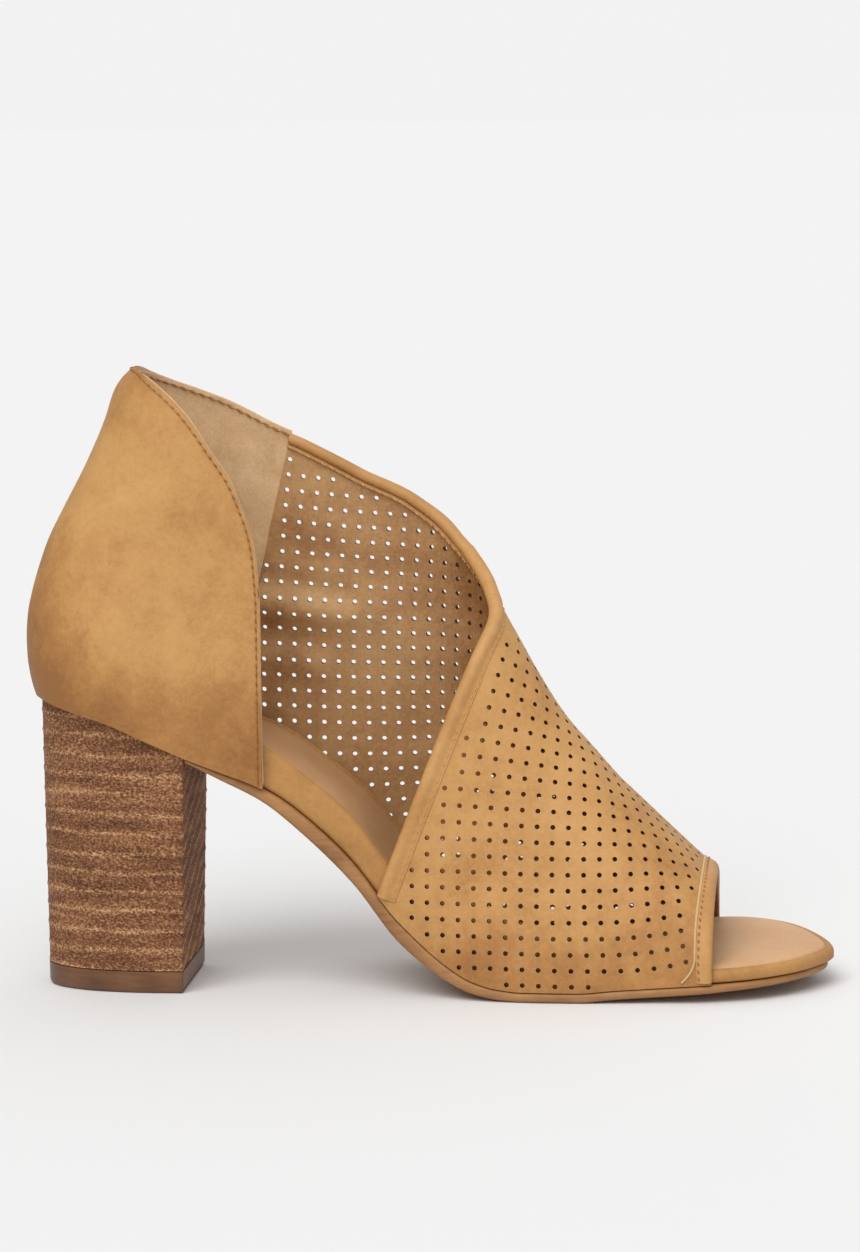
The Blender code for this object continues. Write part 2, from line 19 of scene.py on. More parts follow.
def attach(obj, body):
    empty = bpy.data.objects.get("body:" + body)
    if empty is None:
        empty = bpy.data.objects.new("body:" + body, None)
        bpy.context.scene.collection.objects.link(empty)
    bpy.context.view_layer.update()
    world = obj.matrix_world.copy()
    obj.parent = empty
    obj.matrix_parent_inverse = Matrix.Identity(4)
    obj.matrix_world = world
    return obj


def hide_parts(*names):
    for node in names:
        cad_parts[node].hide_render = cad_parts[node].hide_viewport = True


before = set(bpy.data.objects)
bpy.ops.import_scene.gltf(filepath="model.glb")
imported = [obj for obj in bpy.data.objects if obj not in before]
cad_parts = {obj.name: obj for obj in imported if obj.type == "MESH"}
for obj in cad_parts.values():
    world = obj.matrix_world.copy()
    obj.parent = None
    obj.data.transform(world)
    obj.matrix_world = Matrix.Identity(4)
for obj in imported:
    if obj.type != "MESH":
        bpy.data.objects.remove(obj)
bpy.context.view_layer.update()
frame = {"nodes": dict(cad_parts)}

# Sizes of the last
BOARD_LENGTH = 0.2316
BOARD_BACK = -0.0204
BALL_WIDTH = 0.0716
SEAT_HEIGHT = 0.0870
TOE_SPRING = 0.0046
INSTEP_HEIGHT = 0.0897
BACK_HEIGHT = 0.0935
BACK_LEAN = 0.0269
COUNTER_SWELL = 0.0022
SWELL_HEIGHT = 0.0600
UPRIGHT_HEIGHT = 0.0120
FOLLOW_HEIGHT = 0.0200

# Thicknesses, widths and the clearance that neighbouring pieces keep
GAP = 0.0003
OUTSOLE_THICKNESS = 0.0030
BOARD_THICKNESS = 0.0040
INSOLE_THICKNESS = 0.0012
INSOLE_MARGIN = 0.0012
VAMP_WALL = 0.0016
QUARTER_WALL = 0.0024
TOPLINE_BINDING_WIDTH = 0.0048
THROAT_ROUNDING = 0.0012

# Block heel
HEEL_TIP_LENGTH = 0.0430
HEEL_TIP_WIDTH = 0.0426
HEEL_TIP_HEIGHT = 0.0065
HEEL_TOP_WIDTH = 0.0486
BREAST_LEAN = 0.0024
LAYER_HEIGHT = 0.0058
CORNER_POWER = 2.4

# Places along the last
FAN_ALONG = 0.101
SEAM_ALONG = 0.209
COUNTER_FRONT_ALONG = 0.2846
THROAT_ALONG = 0.4335
TOE_RIM_ALONG = 0.849

# Fineness of the meshes
OUTLINE_STEPS = 14
LAYER_STATIONS = 150
HEEL_BACK_STEPS = 96
HEEL_BREAST_STEPS = 36
HEEL_ROWS = 210
VAMP_ROWS = 66
VAMP_FINE_RIBS = 64
SIDE_WALL_RIBS = 40
QUARTER_ROWS = 60
QUARTER_SIDE_RIBS = 20
QUARTER_TURN_RIBS = 22
QUARTER_FRONT_RIBS = 26
HOLE_SIDES = 12
STITCH_SIDES = 6
CORD_SIDES = 8

# Heel's finish: rounded corners, raised joints that waver round the sides and slant across the
# breast, grain, and layers worn a little hollow
CORNER_RADIUS = 0.0012
JOINT_RISE = 0.00022
JOINT_WIDTH = 0.0006
JOINT_WAVER = 0.0009
BREAST_SLANT = 3 * LAYER_HEIGHT
BREAST_JOINT = 1.8
GRAIN_RISE = 0.00007
LAYER_SINK = 0.0002

# Folded edges, piping and thread
LINING = 0.0005
RIM_WIDTH = 0.0029
RIM_INSET = 0.0011
RIM_EASE = 0.007
RIM_STEP = 0.001
TOE_BAND = 0.0042
PIPING_RADIUS = 0.00036
PIPING_SWING = 0.004
RIDGE_RADIUS = 0.00032
RIDGE_START = 0.62
EDGE_STEP = 0.0009
EDGE_END_GAP = 0.0006
THREAD_RADIUS = 0.00032
COUNTER_THREAD_RADIUS = 0.00036
LINING_THREAD_RADIUS = 0.0004
LINING_SEAM_DEPTH = 0.0026

# Turn of the topline at the throat: where it is, how many points it takes in each way, how
# often they are eased, and how far the leather beside it gives way
THROAT_TURN_Y = -0.0005
THROAT_TURN_SPAN = 14
THROAT_TURN_PASSES = 140
THROAT_EASE = 0.012
THROAT_POINT = SIDE_WALL_RIBS - 2

# Punched holes: their pitch and size, the way that their rows run (degrees, and the places
# along that they are lined up with), and how far they keep from each border
HOLE_PITCH = 0.0045
HOLE_RADIUS = 0.00072
ROW_ANGLE = 14.0
ROW_ALONG = (0.64, 0.78)
ROW_TURN = 8.5
COLLAR_MARGIN = 0.0056
CUT_OUT_MARGIN = 0.0066
TOE_MARGIN = 0.0072
SOLE_MARGIN = 0.0017
SEAM_MARGIN = 0.0012

# Cupped toe end of the foot bed
CUP_RISE = 0.0021
CUP_MIDDLE = 0.180
CUP_REACH = 0.030

# Light: the room, the dark flags behind and in front of the shoe, and the key lamp (degrees)
ROOM_LIGHT = 0.888
BACK_FLAG = 0.12
FRONT_FLAG = 0.50
KEY_TOWARDS = (-0.25, -0.75, 1.0)
KEY_SPREAD = 45
KEY_POWER = 1.7

# The photograph's camera
CAMERA_PLACE = (0.2137, -1.205, 0.256)
CAMERA_AIM = (0.0907, 0.0, 0.085)
CAMERA_ROLL = -1.0
CAMERA_LENS = 119.9
CAMERA_SHIFT = (0.0077, 0.0556)

# Bottom of the shoe in side view: rise of the outsole's underside (share of SEAT_HEIGHT) and
# toe spring (share of TOE_SPRING), then heights of outsole and board, as shares of theirs.
SoleRow = namedtuple("SoleRow", "along rise spring outsole board")
SOLE_ROWS = (
    SoleRow(0.000, 0.994, 0.00, 0.00, 1.20),
    SoleRow(0.088, 0.930, 0.00, 0.00, 1.20),
    SoleRow(0.148, 0.855, 0.00, 0.17, 1.50),
    SoleRow(0.192, 0.791, 0.00, 0.47, 2.00),
    SoleRow(0.235, 0.731, 0.00, 0.90, 2.35),
    SoleRow(0.287, 0.655, 0.00, 1.45, 2.55),
    SoleRow(0.339, 0.539, 0.00, 2.05, 2.50),
    SoleRow(0.399, 0.380, 0.00, 2.30, 2.70),
    SoleRow(0.459, 0.183, 0.00, 2.15, 2.80),
    SoleRow(0.520, 0.060, 0.00, 1.55, 2.10),
    SoleRow(0.550, 0.023, 0.00, 1.25, 1.75),
    SoleRow(0.580, 0.006, 0.00, 1.08, 1.50),
    SoleRow(0.615, 0.000, 0.00, 1.00, 1.30),
    SoleRow(0.684, 0.000, 0.00, 1.00, 1.10),
    SoleRow(0.727, 0.000, 0.20, 0.95, 0.98),
    SoleRow(0.788, 0.000, 0.40, 0.93, 0.88),
    SoleRow(0.848, 0.000, 0.60, 0.91, 0.82),
    SoleRow(0.908, 0.000, 0.80, 0.91, 0.78),
    SoleRow(1.000, 0.000, 1.00, 0.91, 0.74),
)

# How far the outsole stands out past the board: it carries the upper's wall at the ball, and
# draws in under the bare board at the waist and at the toe.
WeltRow = namedtuple("WeltRow", "along out")
WELT_ROWS = (
    WeltRow(0.192, 0.0016),
    WeltRow(0.290, 0.0010),
    WeltRow(0.400, 0.0006),
    WeltRow(0.470, 0.0024),
    WeltRow(0.820, 0.0024),
    WeltRow(0.880, 0.0004),
    WeltRow(1.000, -0.0018),
)

# Plan outline of the board, from the back round the inner side (-Y) to the toe and back along
# the outer side. Across is a share of BALL_WIDTH.
OutlineRow = namedtuple("OutlineRow", "along across")
OUTLINE_ROWS = (
    OutlineRow(0.000, 0.000),
    OutlineRow(0.022, -0.189),
    OutlineRow(0.101, -0.316),
    OutlineRow(0.209, -0.316),
    OutlineRow(0.326, -0.297),
    OutlineRow(0.434, -0.325),
    OutlineRow(0.537, -0.385),
    OutlineRow(0.649, -0.427),
    OutlineRow(0.779, -0.425),
    OutlineRow(0.883, -0.416),
    OutlineRow(0.943, -0.324),
    OutlineRow(0.980, -0.189),
    OutlineRow(1.000, -0.028),
    OutlineRow(0.986, 0.185),
    OutlineRow(0.952, 0.390),
    OutlineRow(0.891, 0.528),
    OutlineRow(0.801, 0.577),
    OutlineRow(0.693, 0.577),
    OutlineRow(0.572, 0.517),
    OutlineRow(0.455, 0.416),
    OutlineRow(0.339, 0.356),
    OutlineRow(0.218, 0.338),
    OutlineRow(0.101, 0.321),
    OutlineRow(0.022, 0.189),
)

# Ribs of the last: each rib is an arch over the foot in a plane that leans forward by tilt
# (degrees). Crest is its height (share of INSTEP_HEIGHT), centre the crest's place across
# (share of BALL_WIDTH), power the arch's squareness, swell the counter's fullness, and reach
# the angle (degrees) that the outer side's topline climbs to, 90 being the crest.
RibRow = namedtuple("RibRow", "along tilt crest centre power swell reach")
RIB_ROWS = (
    RibRow(0.101, 17.0, 2.12, 0.000, 2.40, 1.00, 25.6),
    RibRow(0.209, 14.0, 2.06, 0.000, 2.40, 0.80, 26.5),
    RibRow(0.282, 16.6, 1.84, 0.000, 2.40, 0.55, 29.6),
    RibRow(0.347, 18.7, 1.50, 0.000, 2.40, 0.30, 40.2),
    RibRow(0.390, 20.0, 1.20, 0.000, 2.30, 0.15, 57.6),
    RibRow(0.416, 20.9, 1.08, 0.000, 2.20, 0.08, 71.8),
    RibRow(0.4385, 21.5, 0.99, 0.000, 2.15, 0.00, 90.0),
    RibRow(0.520, 17.0, 0.935, 0.000, 2.00, 0.00, 90.0),
    RibRow(0.606, 12.6, 0.802, 0.010, 2.00, 0.00, 90.0),
    RibRow(0.693, 8.2, 0.625, 0.020, 2.10, 0.00, 90.0),
    RibRow(0.779, 3.8, 0.440, 0.030, 2.20, 0.00, 90.0),
    RibRow(0.849, 0.0, 0.279, 0.040, 2.25, 0.00, 90.0),
)

# The inner side of the counter, whose ribs straighten up towards its front edge.
CounterRow = namedtuple("CounterRow", "along tilt reach")
COUNTER_ROWS = (
    CounterRow(0.101, 17.0, 23.6),
    CounterRow(0.153, 12.0, 22.9),
    CounterRow(0.196, 8.0, 22.5),
    CounterRow(0.239, 4.0, 21.7),
    CounterRow(0.265, 1.7, 20.9),
    CounterRow(0.278, 0.5, 19.4),
    CounterRow(0.2846, 0.0, 15.2),
)

# Back curve of the last: climb above the seat (share of BACK_HEIGHT), and how far forward the
# curve has moved (share of BACK_LEAN).
BackRow = namedtuple("BackRow", "climb forward")
BACK_ROWS = (
    BackRow(0.000, 0.000),
    BackRow(0.060, -0.056),
    BackRow(0.118, -0.085),
    BackRow(0.180, -0.090),
    BackRow(0.251, -0.071),
    BackRow(0.324, -0.015),
    BackRow(0.394, 0.060),
    BackRow(0.479, 0.171),
    BackRow(0.571, 0.338),
    BackRow(0.721, 0.620),
    BackRow(0.859, 0.840),
    BackRow(0.945, 0.945),
    BackRow(0.975, 1.010),
    BackRow(1.000, 1.110),
)
BACK_REACH_POWER_OUTER = 1.0
BACK_REACH_POWER_INNER = 1.9

INNER, OUTER = -1, 1


def row_value(rows, name, at):
    """A table's column at a place between its rows, smooth and without overshoot."""
    keys = [row[0] for row in rows]
    values = [getattr(row, name) for row in rows]
    if at <= keys[0]:
        return values[0]
    if at >= keys[-1]:
        return values[-1]
    steps = [(values[k + 1] - values[k]) / (keys[k + 1] - keys[k]) for k in range(len(keys) - 1)]

    def slope(k):
        before = steps[max(k - 1, 0)]
        after = steps[min(k, len(steps) - 1)]
        if before * after <= 0:
            return 0.0
        return 2 * before * after / (before + after)

    low = max(k for k in range(len(keys) - 1) if keys[k] <= at)
    span = keys[low + 1] - keys[low]
    t = (at - keys[low]) / span
    start = (1 + 2 * t) * (1 - t) ** 2 * values[low] + t * (1 - t) ** 2 * span * slope(low)
    end = t * t * (3 - 2 * t) * values[low + 1] - t * t * (1 - t) * span * slope(low + 1)
    return start + end


def place(along):
    """X of a share of the board's length."""
    return BOARD_BACK + along * BOARD_LENGTH


def share(x):
    """Share of the board's length at an X."""
    return (x - BOARD_BACK) / BOARD_LENGTH


# Side view of the bottom


def underside(x):
    """Height of the outsole's underside above the floor."""
    along = share(x)
    rise = row_value(SOLE_ROWS, "rise", along) * SEAT_HEIGHT
    return rise + row_value(SOLE_ROWS, "spring", along) * TOE_SPRING


def feather(x):
    """Height of the line where upper and board sit on the outsole, or on the heel."""
    return underside(x) + row_value(SOLE_ROWS, "outsole", share(x)) * OUTSOLE_THICKNESS


def board_top(x):
    """Height of the board's upper face."""
    return feather(x) + row_value(SOLE_ROWS, "board", share(x)) * BOARD_THICKNESS


# Plan view of the bottom


def outline_points():
    """The board's closed outline as a smooth curve through OUTLINE_ROWS."""
    nodes = [Vector((place(row.along), row.across * BALL_WIDTH)) for row in OUTLINE_ROWS]
    count = len(nodes)
    points = []
    for k in range(count):
        before, start, end, after = (nodes[(k + j) % count] for j in (-1, 0, 1, 2))
        for step in range(OUTLINE_STEPS):
            t = step / OUTLINE_STEPS
            straight = (end - before) * t
            bend = (2 * before - 5 * start + 4 * end - after) * t * t
            turn = (3 * start - before - 3 * end + after) * t**3
            points.append(0.5 * (2 * start + straight + bend + turn))
    return points


OUTLINE = outline_points()


def grown_outline(grow):
    """The outline pushed outwards by grow(x), as its inner-side and outer-side chains."""
    count = len(OUTLINE)
    moved = []
    for k, point in enumerate(OUTLINE):
        run = OUTLINE[(k + 1) % count] - OUTLINE[k - 1]
        outward = Vector((-run.y, run.x)).normalized() * -1
        if outward.dot(point - Vector((place(0.5), 0))) < 0:
            outward = outward * -1
        moved.append(point + outward * grow(point.x))
    tip = max(range(count), key=lambda k: moved[k].x)
    inner = moved[: tip + 1]
    outer = [moved[0]] + moved[:tip - 1:-1]
    return inner, outer


def chain_y(chain, x):
    """Y of a chain of outline points at an X."""
    for start, end in zip(chain, chain[1:]):
        if start.x <= x <= end.x:
            t = (x - start.x) / (end.x - start.x)
            return start.y + t * (end.y - start.y)
    return chain[0].y if x < chain[0].x else chain[-1].y


LAST_CHAINS = dict(zip((INNER, OUTER), grown_outline(lambda x: GAP)))


# Surface of the last


def rib_point(side, along, angle, tilt=None):
    """Point of a rib: angle 0 is the feather edge and pi / 2 the crest."""
    x = place(along)
    crest = row_value(RIB_ROWS, "crest", along) * INSTEP_HEIGHT
    centre = row_value(RIB_ROWS, "centre", along) * BALL_WIDTH
    power = 2 / row_value(RIB_ROWS, "power", along)
    lean = math.radians(row_value(RIB_ROWS, "tilt", along) if tilt is None else tilt)
    climb = crest * max(math.sin(angle), 0) ** power
    follow = climb
    if climb > UPRIGHT_HEIGHT:
        fade = 1 - math.exp((UPRIGHT_HEIGHT - climb) / FOLLOW_HEIGHT)
        follow = UPRIGHT_HEIGHT + FOLLOW_HEIGHT * fade
    reach = chain_y(LAST_CHAINS[side], x + follow * math.sin(lean)) - centre
    y = centre + reach * max(math.cos(angle), 0) ** power
    t = min(climb / SWELL_HEIGHT, 1)
    fullness = row_value(RIB_ROWS, "swell", along) * 6.75 * t * (1 - t) ** 2
    y += side * COUNTER_SWELL * fullness
    return Vector((x + climb * math.sin(lean), y, feather(x) + climb * math.cos(lean)))


def rib_at_height(side, z):
    """X and Y of the rib where the sides of the last meet its round back, at a height."""
    low, high = 0.0, math.pi / 2
    for _ in range(30):
        middle = (low + high) / 2
        if rib_point(side, FAN_ALONG, middle).z < z:
            low = middle
        else:
            high = middle
    point = rib_point(side, FAN_ALONG, low)
    return point.x, point.y


def back_x(z):
    """X of the back curve at a height."""
    climb = (z - feather(BOARD_BACK)) / BACK_HEIGHT
    return BOARD_BACK - GAP + row_value(BACK_ROWS, "forward", climb) * BACK_LEAN


def seat_point(side, turn, z):
    """Point of the round back: turn 0 is the middle of the back and pi / 2 the side."""
    x_side, y_side = rib_at_height(side, z)
    x = x_side - (x_side - back_x(z)) * math.cos(turn)
    return Vector((x, y_side * math.sin(turn), z))


# Fine sheets of the last


def fine_rib(side, along, reach, rows, tilt=None):
    """A rib from the feather edge up to an angle, in degrees."""
    top = math.radians(reach)
    return [rib_point(side, along, top * k / rows, tilt) for k in range(rows + 1)]


def fine_seat_rib(side, turn, rows):
    """A rib of the round back, from the feather edge up to the topline."""
    outer = side == OUTER
    table = RIB_ROWS if outer else COUNTER_ROWS
    power = BACK_REACH_POWER_OUTER if outer else BACK_REACH_POWER_INNER
    top_side = rib_point(side, FAN_ALONG, math.radians(table[0].reach)).z
    top_back = feather(BOARD_BACK) + BACK_HEIGHT
    top = top_side + (top_back - top_side) * (1 - (1 - math.cos(turn)) ** power)
    z = feather(BOARD_BACK)
    for _ in range(6):
        z = feather(seat_point(side, turn, z).x)
    spread = fine_rib(side, FAN_ALONG, table[0].reach, rows)
    shares = [(point.z - spread[0].z) / (spread[-1].z - spread[0].z) for point in spread]
    return [seat_point(side, turn, z + (top - z) * climb) for climb in shares]


def linked(name, data):
    """An object of the scene that holds some data."""
    made = bpy.data.objects.new(name, data)
    bpy.context.scene.collection.objects.link(made)
    return made


def mesh_of(bm, name):
    """A mesh made from a bmesh, which is used up."""
    mesh = bpy.data.meshes.new(name)
    bm.to_mesh(mesh)
    bm.free()
    return mesh


def ring_round(bm, middle, side, up, radius, count):
    """A ring of vertices round a point, in the plane of two directions."""
    ring = []
    for k in range(count):
        turn = math.tau * k / count
        ring.append(bm.verts.new(middle + (side * math.cos(turn) + up * math.sin(turn)) * radius))
    return ring


def join_rings(bm, rings, closed=True):
    """Quads between rings of vertices that have equal counts."""
    for lower, upper in zip(rings, rings[1:]):
        count = len(lower)
        for k in range(count if closed else count - 1):
            after = (k + 1) % count
            bm.faces.new((lower[k], lower[after], upper[after], upper[k]))


def vamp_stations(angle, count):
    """Places along of the vamp's ribs at an angle, from the throat to the toe rim."""
    start = THROAT_ALONG + THROAT_ROUNDING / BOARD_LENGTH * math.sin(angle) ** 6
    return [start + (TOE_RIM_ALONG - start) * k / count for k in range(count + 1)]


def face_outwards(bm, face):
    """Turns an open sheet so that a face known to be on the outer side looks to +Y."""
    bmesh.ops.recalc_face_normals(bm, faces=bm.faces)
    if face.normal.y < 0:
        bmesh.ops.reverse_faces(bm, faces=bm.faces)
    bm.normal_update()


def vamp_surface(ribs, walls, rows):
    """The vamp and the outer side's wall up to the quarter, on the last. Also returns the
    topline from the seam down to the inner feather, and the toe rim."""
    bm = bmesh.new()
    grid = []
    for along in reversed(vamp_stations(math.pi / 2, ribs)):
        grid.append([bm.verts.new(p) for p in fine_rib(OUTER, along, 90.0, rows)])
    for k in range(walls + 1):
        along = THROAT_ALONG + 0.0005 - (THROAT_ALONG + 0.0005 - SEAM_ALONG) * (k / walls) ** 1.5
        reach = row_value(RIB_ROWS, "reach", along)
        grid.append([bm.verts.new(p) for p in fine_rib(OUTER, along, reach, rows)])
    join_rings(bm, grid, closed=False)
    lines = []
    for row in range(rows):
        angle = row / rows * math.pi / 2
        stations = vamp_stations(angle, ribs)
        lines.append([bm.verts.new(rib_point(INNER, along, angle)) for along in stations])
    lines.append([column[-1] for column in reversed(grid[: ribs + 1])])
    join_rings(bm, lines, closed=False)
    face_outwards(bm, grid[ribs + 5][2].link_faces[0])
    topline = [column[-1] for column in reversed(grid[ribs + 1 :])]
    topline += [line[0] for line in reversed(lines)]
    toe_rim = [line[-1] for line in lines] + list(reversed(grid[0][:-1]))
    return bm, topline, toe_rim


def quarter_surface(walls, turns, fronts, rows):
    """The quarter on the last: from the outer seam round the back to the counter's front
    edge. Also returns the chain of vertices along its topline and front edge."""
    bm = bmesh.new()
    ribs = []
    for k in range(walls):
        along = SEAM_ALONG + (FAN_ALONG - SEAM_ALONG) * k / walls
        ribs.append(fine_rib(OUTER, along, row_value(RIB_ROWS, "reach", along), rows))
    for k in range(turns):
        ribs.append(fine_seat_rib(OUTER, math.pi / 2 * (1 - k / turns), rows))
    for k in range(turns):
        ribs.append(fine_seat_rib(INNER, math.pi / 2 * k / turns, rows))
    for k in range(fronts + 1):
        along = FAN_ALONG + (COUNTER_FRONT_ALONG - FAN_ALONG) * (1 - (1 - k / fronts) ** 1.8)
        tilt = row_value(COUNTER_ROWS, "tilt", along)
        reach = row_value(COUNTER_ROWS, "reach", along)
        ribs.append(fine_rib(INNER, along, reach, rows, tilt))
    grid = [[bm.verts.new(p) for p in points] for points in ribs]
    join_rings(bm, grid, closed=False)
    face_outwards(bm, grid[2][2].link_faces[0])
    topline = [column[-1] for column in grid]
    front = list(reversed(grid[-1]))[1:]
    return bm, topline + front


def ease_throat(surface, topline):
    """Rounds the topline's turn at the throat, and eases the leather beside it."""
    corner = min(range(len(topline)), key=lambda k: abs(topline[k].co.y - THROAT_TURN_Y))
    window = range(corner - THROAT_TURN_SPAN, corner + THROAT_TURN_SPAN + 1)
    before = {k: topline[k].co.copy() for k in window}
    for _ in range(THROAT_TURN_PASSES):
        eased = {k: (topline[k - 1].co + topline[k + 1].co) / 2 for k in window}
        for k, spot in eased.items():
            topline[k].co = topline[k].co.lerp(spot, 0.5)
    moved = [(before[k], topline[k].co - before[k]) for k in window]
    border = set(topline)
    for vertex in surface.verts:
        if vertex in border:
            continue
        start, move = min(moved, key=lambda pair: (pair[0] - vertex.co).length_squared)
        away = (start - vertex.co).length
        if away < THROAT_EASE:
            vertex.co += move * (1 - away / THROAT_EASE) ** 2


def on_feather(point):
    """Whether a point lies on the feather line."""
    return abs(point.z - feather(point.x)) < 0.00005


def edge_outward(vertex):
    """Direction in the sheet's own plane that leads out over its border at a vertex."""
    total = Vector()
    for edge in vertex.link_edges:
        if edge.is_boundary:
            face = edge.link_faces[0]
            side = (edge.verts[0].co + edge.verts[1].co) / 2 - face.calc_center_median()
            run = (edge.verts[1].co - edge.verts[0].co).normalized()
            side -= run * side.dot(run)
            total += side.normalized()
    total -= vertex.normal * total.dot(vertex.normal)
    return total.normalized()


def thick_sheet(surface, low, high, rim_steps=0, rise=None):
    """A closed sheet between two heights over an open surface. Its border is rounded where
    rim_steps isn't 0, and rise(point) adds to both heights."""
    shell = bmesh.new()
    rows = {}
    middle, half = (low + high) / 2, (high - low) / 2
    for vertex in surface.verts:
        normal = vertex.normal.copy()
        extra = rise(vertex.co) if rise else 0.0
        sits = on_feather(vertex.co)
        if sits:
            normal = Vector((normal.x, normal.y, 0)).normalized()
        steps = rim_steps if vertex.is_boundary else 0
        outward = edge_outward(vertex) if steps and not sits else Vector()
        column = []
        for step in range(steps + 2):
            turn = math.pi * step / (steps + 1)
            lift = middle + half * math.cos(turn) + extra
            spot = vertex.co + normal * lift + outward * half * math.sin(turn)
            if sits:
                spot.z = feather(spot.x)
            column.append(shell.verts.new(spot))
        rows[vertex] = column
    for face in surface.faces:
        shell.faces.new([rows[v][0] for v in face.verts])
        shell.faces.new([rows[v][-1] for v in reversed(face.verts)])
    for edge in surface.edges:
        if edge.is_boundary:
            loop = edge.link_loops[0]
            start, end = rows[loop.vert], rows[loop.link_loop_next.vert]
            for k in range(len(start) - 1):
                shell.faces.new((start[k + 1], end[k + 1], end[k], start[k]))
    return shell


class Skin:
    """A surface to lay strips and stitches on: nearest places with smooth normals."""

    def __init__(self, surface, rise=None):
        copy = surface.copy()
        bmesh.ops.triangulate(copy, faces=copy.faces)
        self.points = [v.co.copy() for v in copy.verts]
        self.normals = [v.normal.copy() for v in surface.verts]
        self.corners = [[v.index for v in f.verts] for f in copy.faces]
        self.tree = BVHTree.FromPolygons(self.points, self.corners)
        self.rise = rise
        copy.free()

    def nearest(self, point):
        """The nearest place on the surface, and its smooth normal."""
        spot, _, index, _ = self.tree.find_nearest(point)
        a, b, c = self.corners[index]
        normal = barycentric_transform(
            spot, self.points[a], self.points[b], self.points[c],
            self.normals[a], self.normals[b], self.normals[c],
        )
        return spot, normal.normalized()

    def shading(self, spot, normal):
        """The normal at a place once the rise has tilted the surface."""
        if not self.rise or abs(self.rise(spot)) < 0.000002:
            return normal
        side = normal.orthogonal().normalized()
        tilted = normal.copy()
        for run in (side, normal.cross(side)):
            step = run * 0.0005
            tilted -= run * (self.rise(spot + step) - self.rise(spot - step)) / 0.001
        return tilted.normalized()

    def over(self, point, lift):
        """The point at a height over the place nearest to a point."""
        spot, normal = self.nearest(point)
        extra = self.rise(spot) if self.rise else 0.0
        return spot + normal * (lift + extra)


def indexed(surface):
    """Numbers a sheet's vertices and renews its normals after a change."""
    surface.verts.ensure_lookup_table()
    surface.verts.index_update()
    surface.normal_update()


def resampled(chain, step, start_gap=0.0, end_gap=0.0):
    """Evenly spaced (point, normal) pairs along a chain of vertices."""
    points = [(vertex.co.copy(), vertex.normal.copy()) for vertex in chain]
    lengths = [0.0]
    for (start, _), (end, _) in zip(points, points[1:]):
        lengths.append(lengths[-1] + (end - start).length)
    usable = lengths[-1] - start_gap - end_gap
    count = max(round(usable / step), 2)
    path = []
    for k in range(count + 1):
        at = min(max(start_gap + usable * k / count, 0.0), lengths[-1] - 1e-9)
        low = max(j for j in range(len(points) - 1) if lengths[j] <= at)
        t = (at - lengths[low]) / max(lengths[low + 1] - lengths[low], 1e-9)
        point = points[low][0].lerp(points[low + 1][0], t)
        path.append((point, points[low][1].lerp(points[low + 1][1], t).normalized()))
    return path


def inward_frames(path):
    """Adds to each (point, normal) the direction that leads inwards from the edge."""
    frames = []
    for k, (point, normal) in enumerate(path):
        run = path[min(k + 2, len(path) - 1)][0] - path[max(k - 2, 0)][0]
        frames.append((point, normal, normal.cross(run).normalized()))
    return frames


def swept_binding(name, frames, profile, skin, width, finish, slot_name, replaced):
    """A folded strip along an edge. A profile point's depth, as a share of width(s), runs
    inwards from the edge, and its lift is the height over the last."""
    bm = bmesh.new()
    rings = []
    for k, (point, normal, inward) in enumerate(frames):
        wide = width(k / (len(frames) - 1))
        ring = []
        for depth, lift in profile:
            if depth > 0:
                ring.append(bm.verts.new(skin.over(point + inward * depth * wide, lift)))
            else:
                ring.append(bm.verts.new(point + inward * depth * wide + normal * lift))
        rings.append(ring)
    join_rings(bm, rings)
    bm.faces.new(rings[0])
    bm.faces.new(list(reversed(rings[-1])))
    bm.faces.ensure_lookup_table()
    count = len(profile)
    for index in range((len(frames) - 1) * count):
        side = index % count
        hidden = max(profile[side][1], profile[(side + 1) % count][1]) < 0.0003
        bm.faces[index].material_index = 1 if hidden else 0
    return add_piece(name, bm, finish, slot_name, replaced)


def offset_line(frames, depth, lift, skin):
    """Points at a depth from an edge and a height over the last, for stitches and cords."""
    line = []
    for k, (point, _, inward) in enumerate(frames):
        inset = depth(k / (len(frames) - 1)) if callable(depth) else depth
        line.append((skin.over(point + inward * inset, lift), skin.nearest(point + inward * inset)[1]))
    return line


def walk(line, step):
    """Evenly spaced (point, normal, run) along a line of (point, normal)."""
    lengths = [0.0]
    for (start, _), (end, _) in zip(line, line[1:]):
        lengths.append(lengths[-1] + (end - start).length)
    count = max(int(lengths[-1] / step), 1)
    spots = []
    low = 0
    for k in range(count):
        at = (k + 0.5) * lengths[-1] / count
        while lengths[low + 1] < at:
            low += 1
        t = (at - lengths[low]) / (lengths[low + 1] - lengths[low])
        point = line[low][0].lerp(line[low + 1][0], t)
        normal = line[low][1].lerp(line[low + 1][1], t).normalized()
        spots.append((point, normal, (line[low + 1][0] - line[low][0]).normalized()))
    return spots


def add_stitches(bm, line, step=0.0026, length=0.0019, radius=THREAD_RADIUS, slant=0.12):
    """Sewn stitches along a line: each is a short thread that dips into the leather."""
    for point, normal, run in walk(line, step):
        side = normal.cross(run).normalized()
        run = (run + side * slant).normalized()
        rings = []
        for t in (-1.0, -0.7, -0.25, 0.25, 0.7, 1.0):
            size = radius * math.sqrt(max(1 - t * t, 0.02))
            middle = point + run * t * length / 2 - normal * radius * (0.2 + 1.2 * t * t)
            rings.append(ring_round(bm, middle, side, normal, size, STITCH_SIDES))
        join_rings(bm, rings)
        bm.faces.new(rings[0])
        bm.faces.new(list(reversed(rings[-1])))


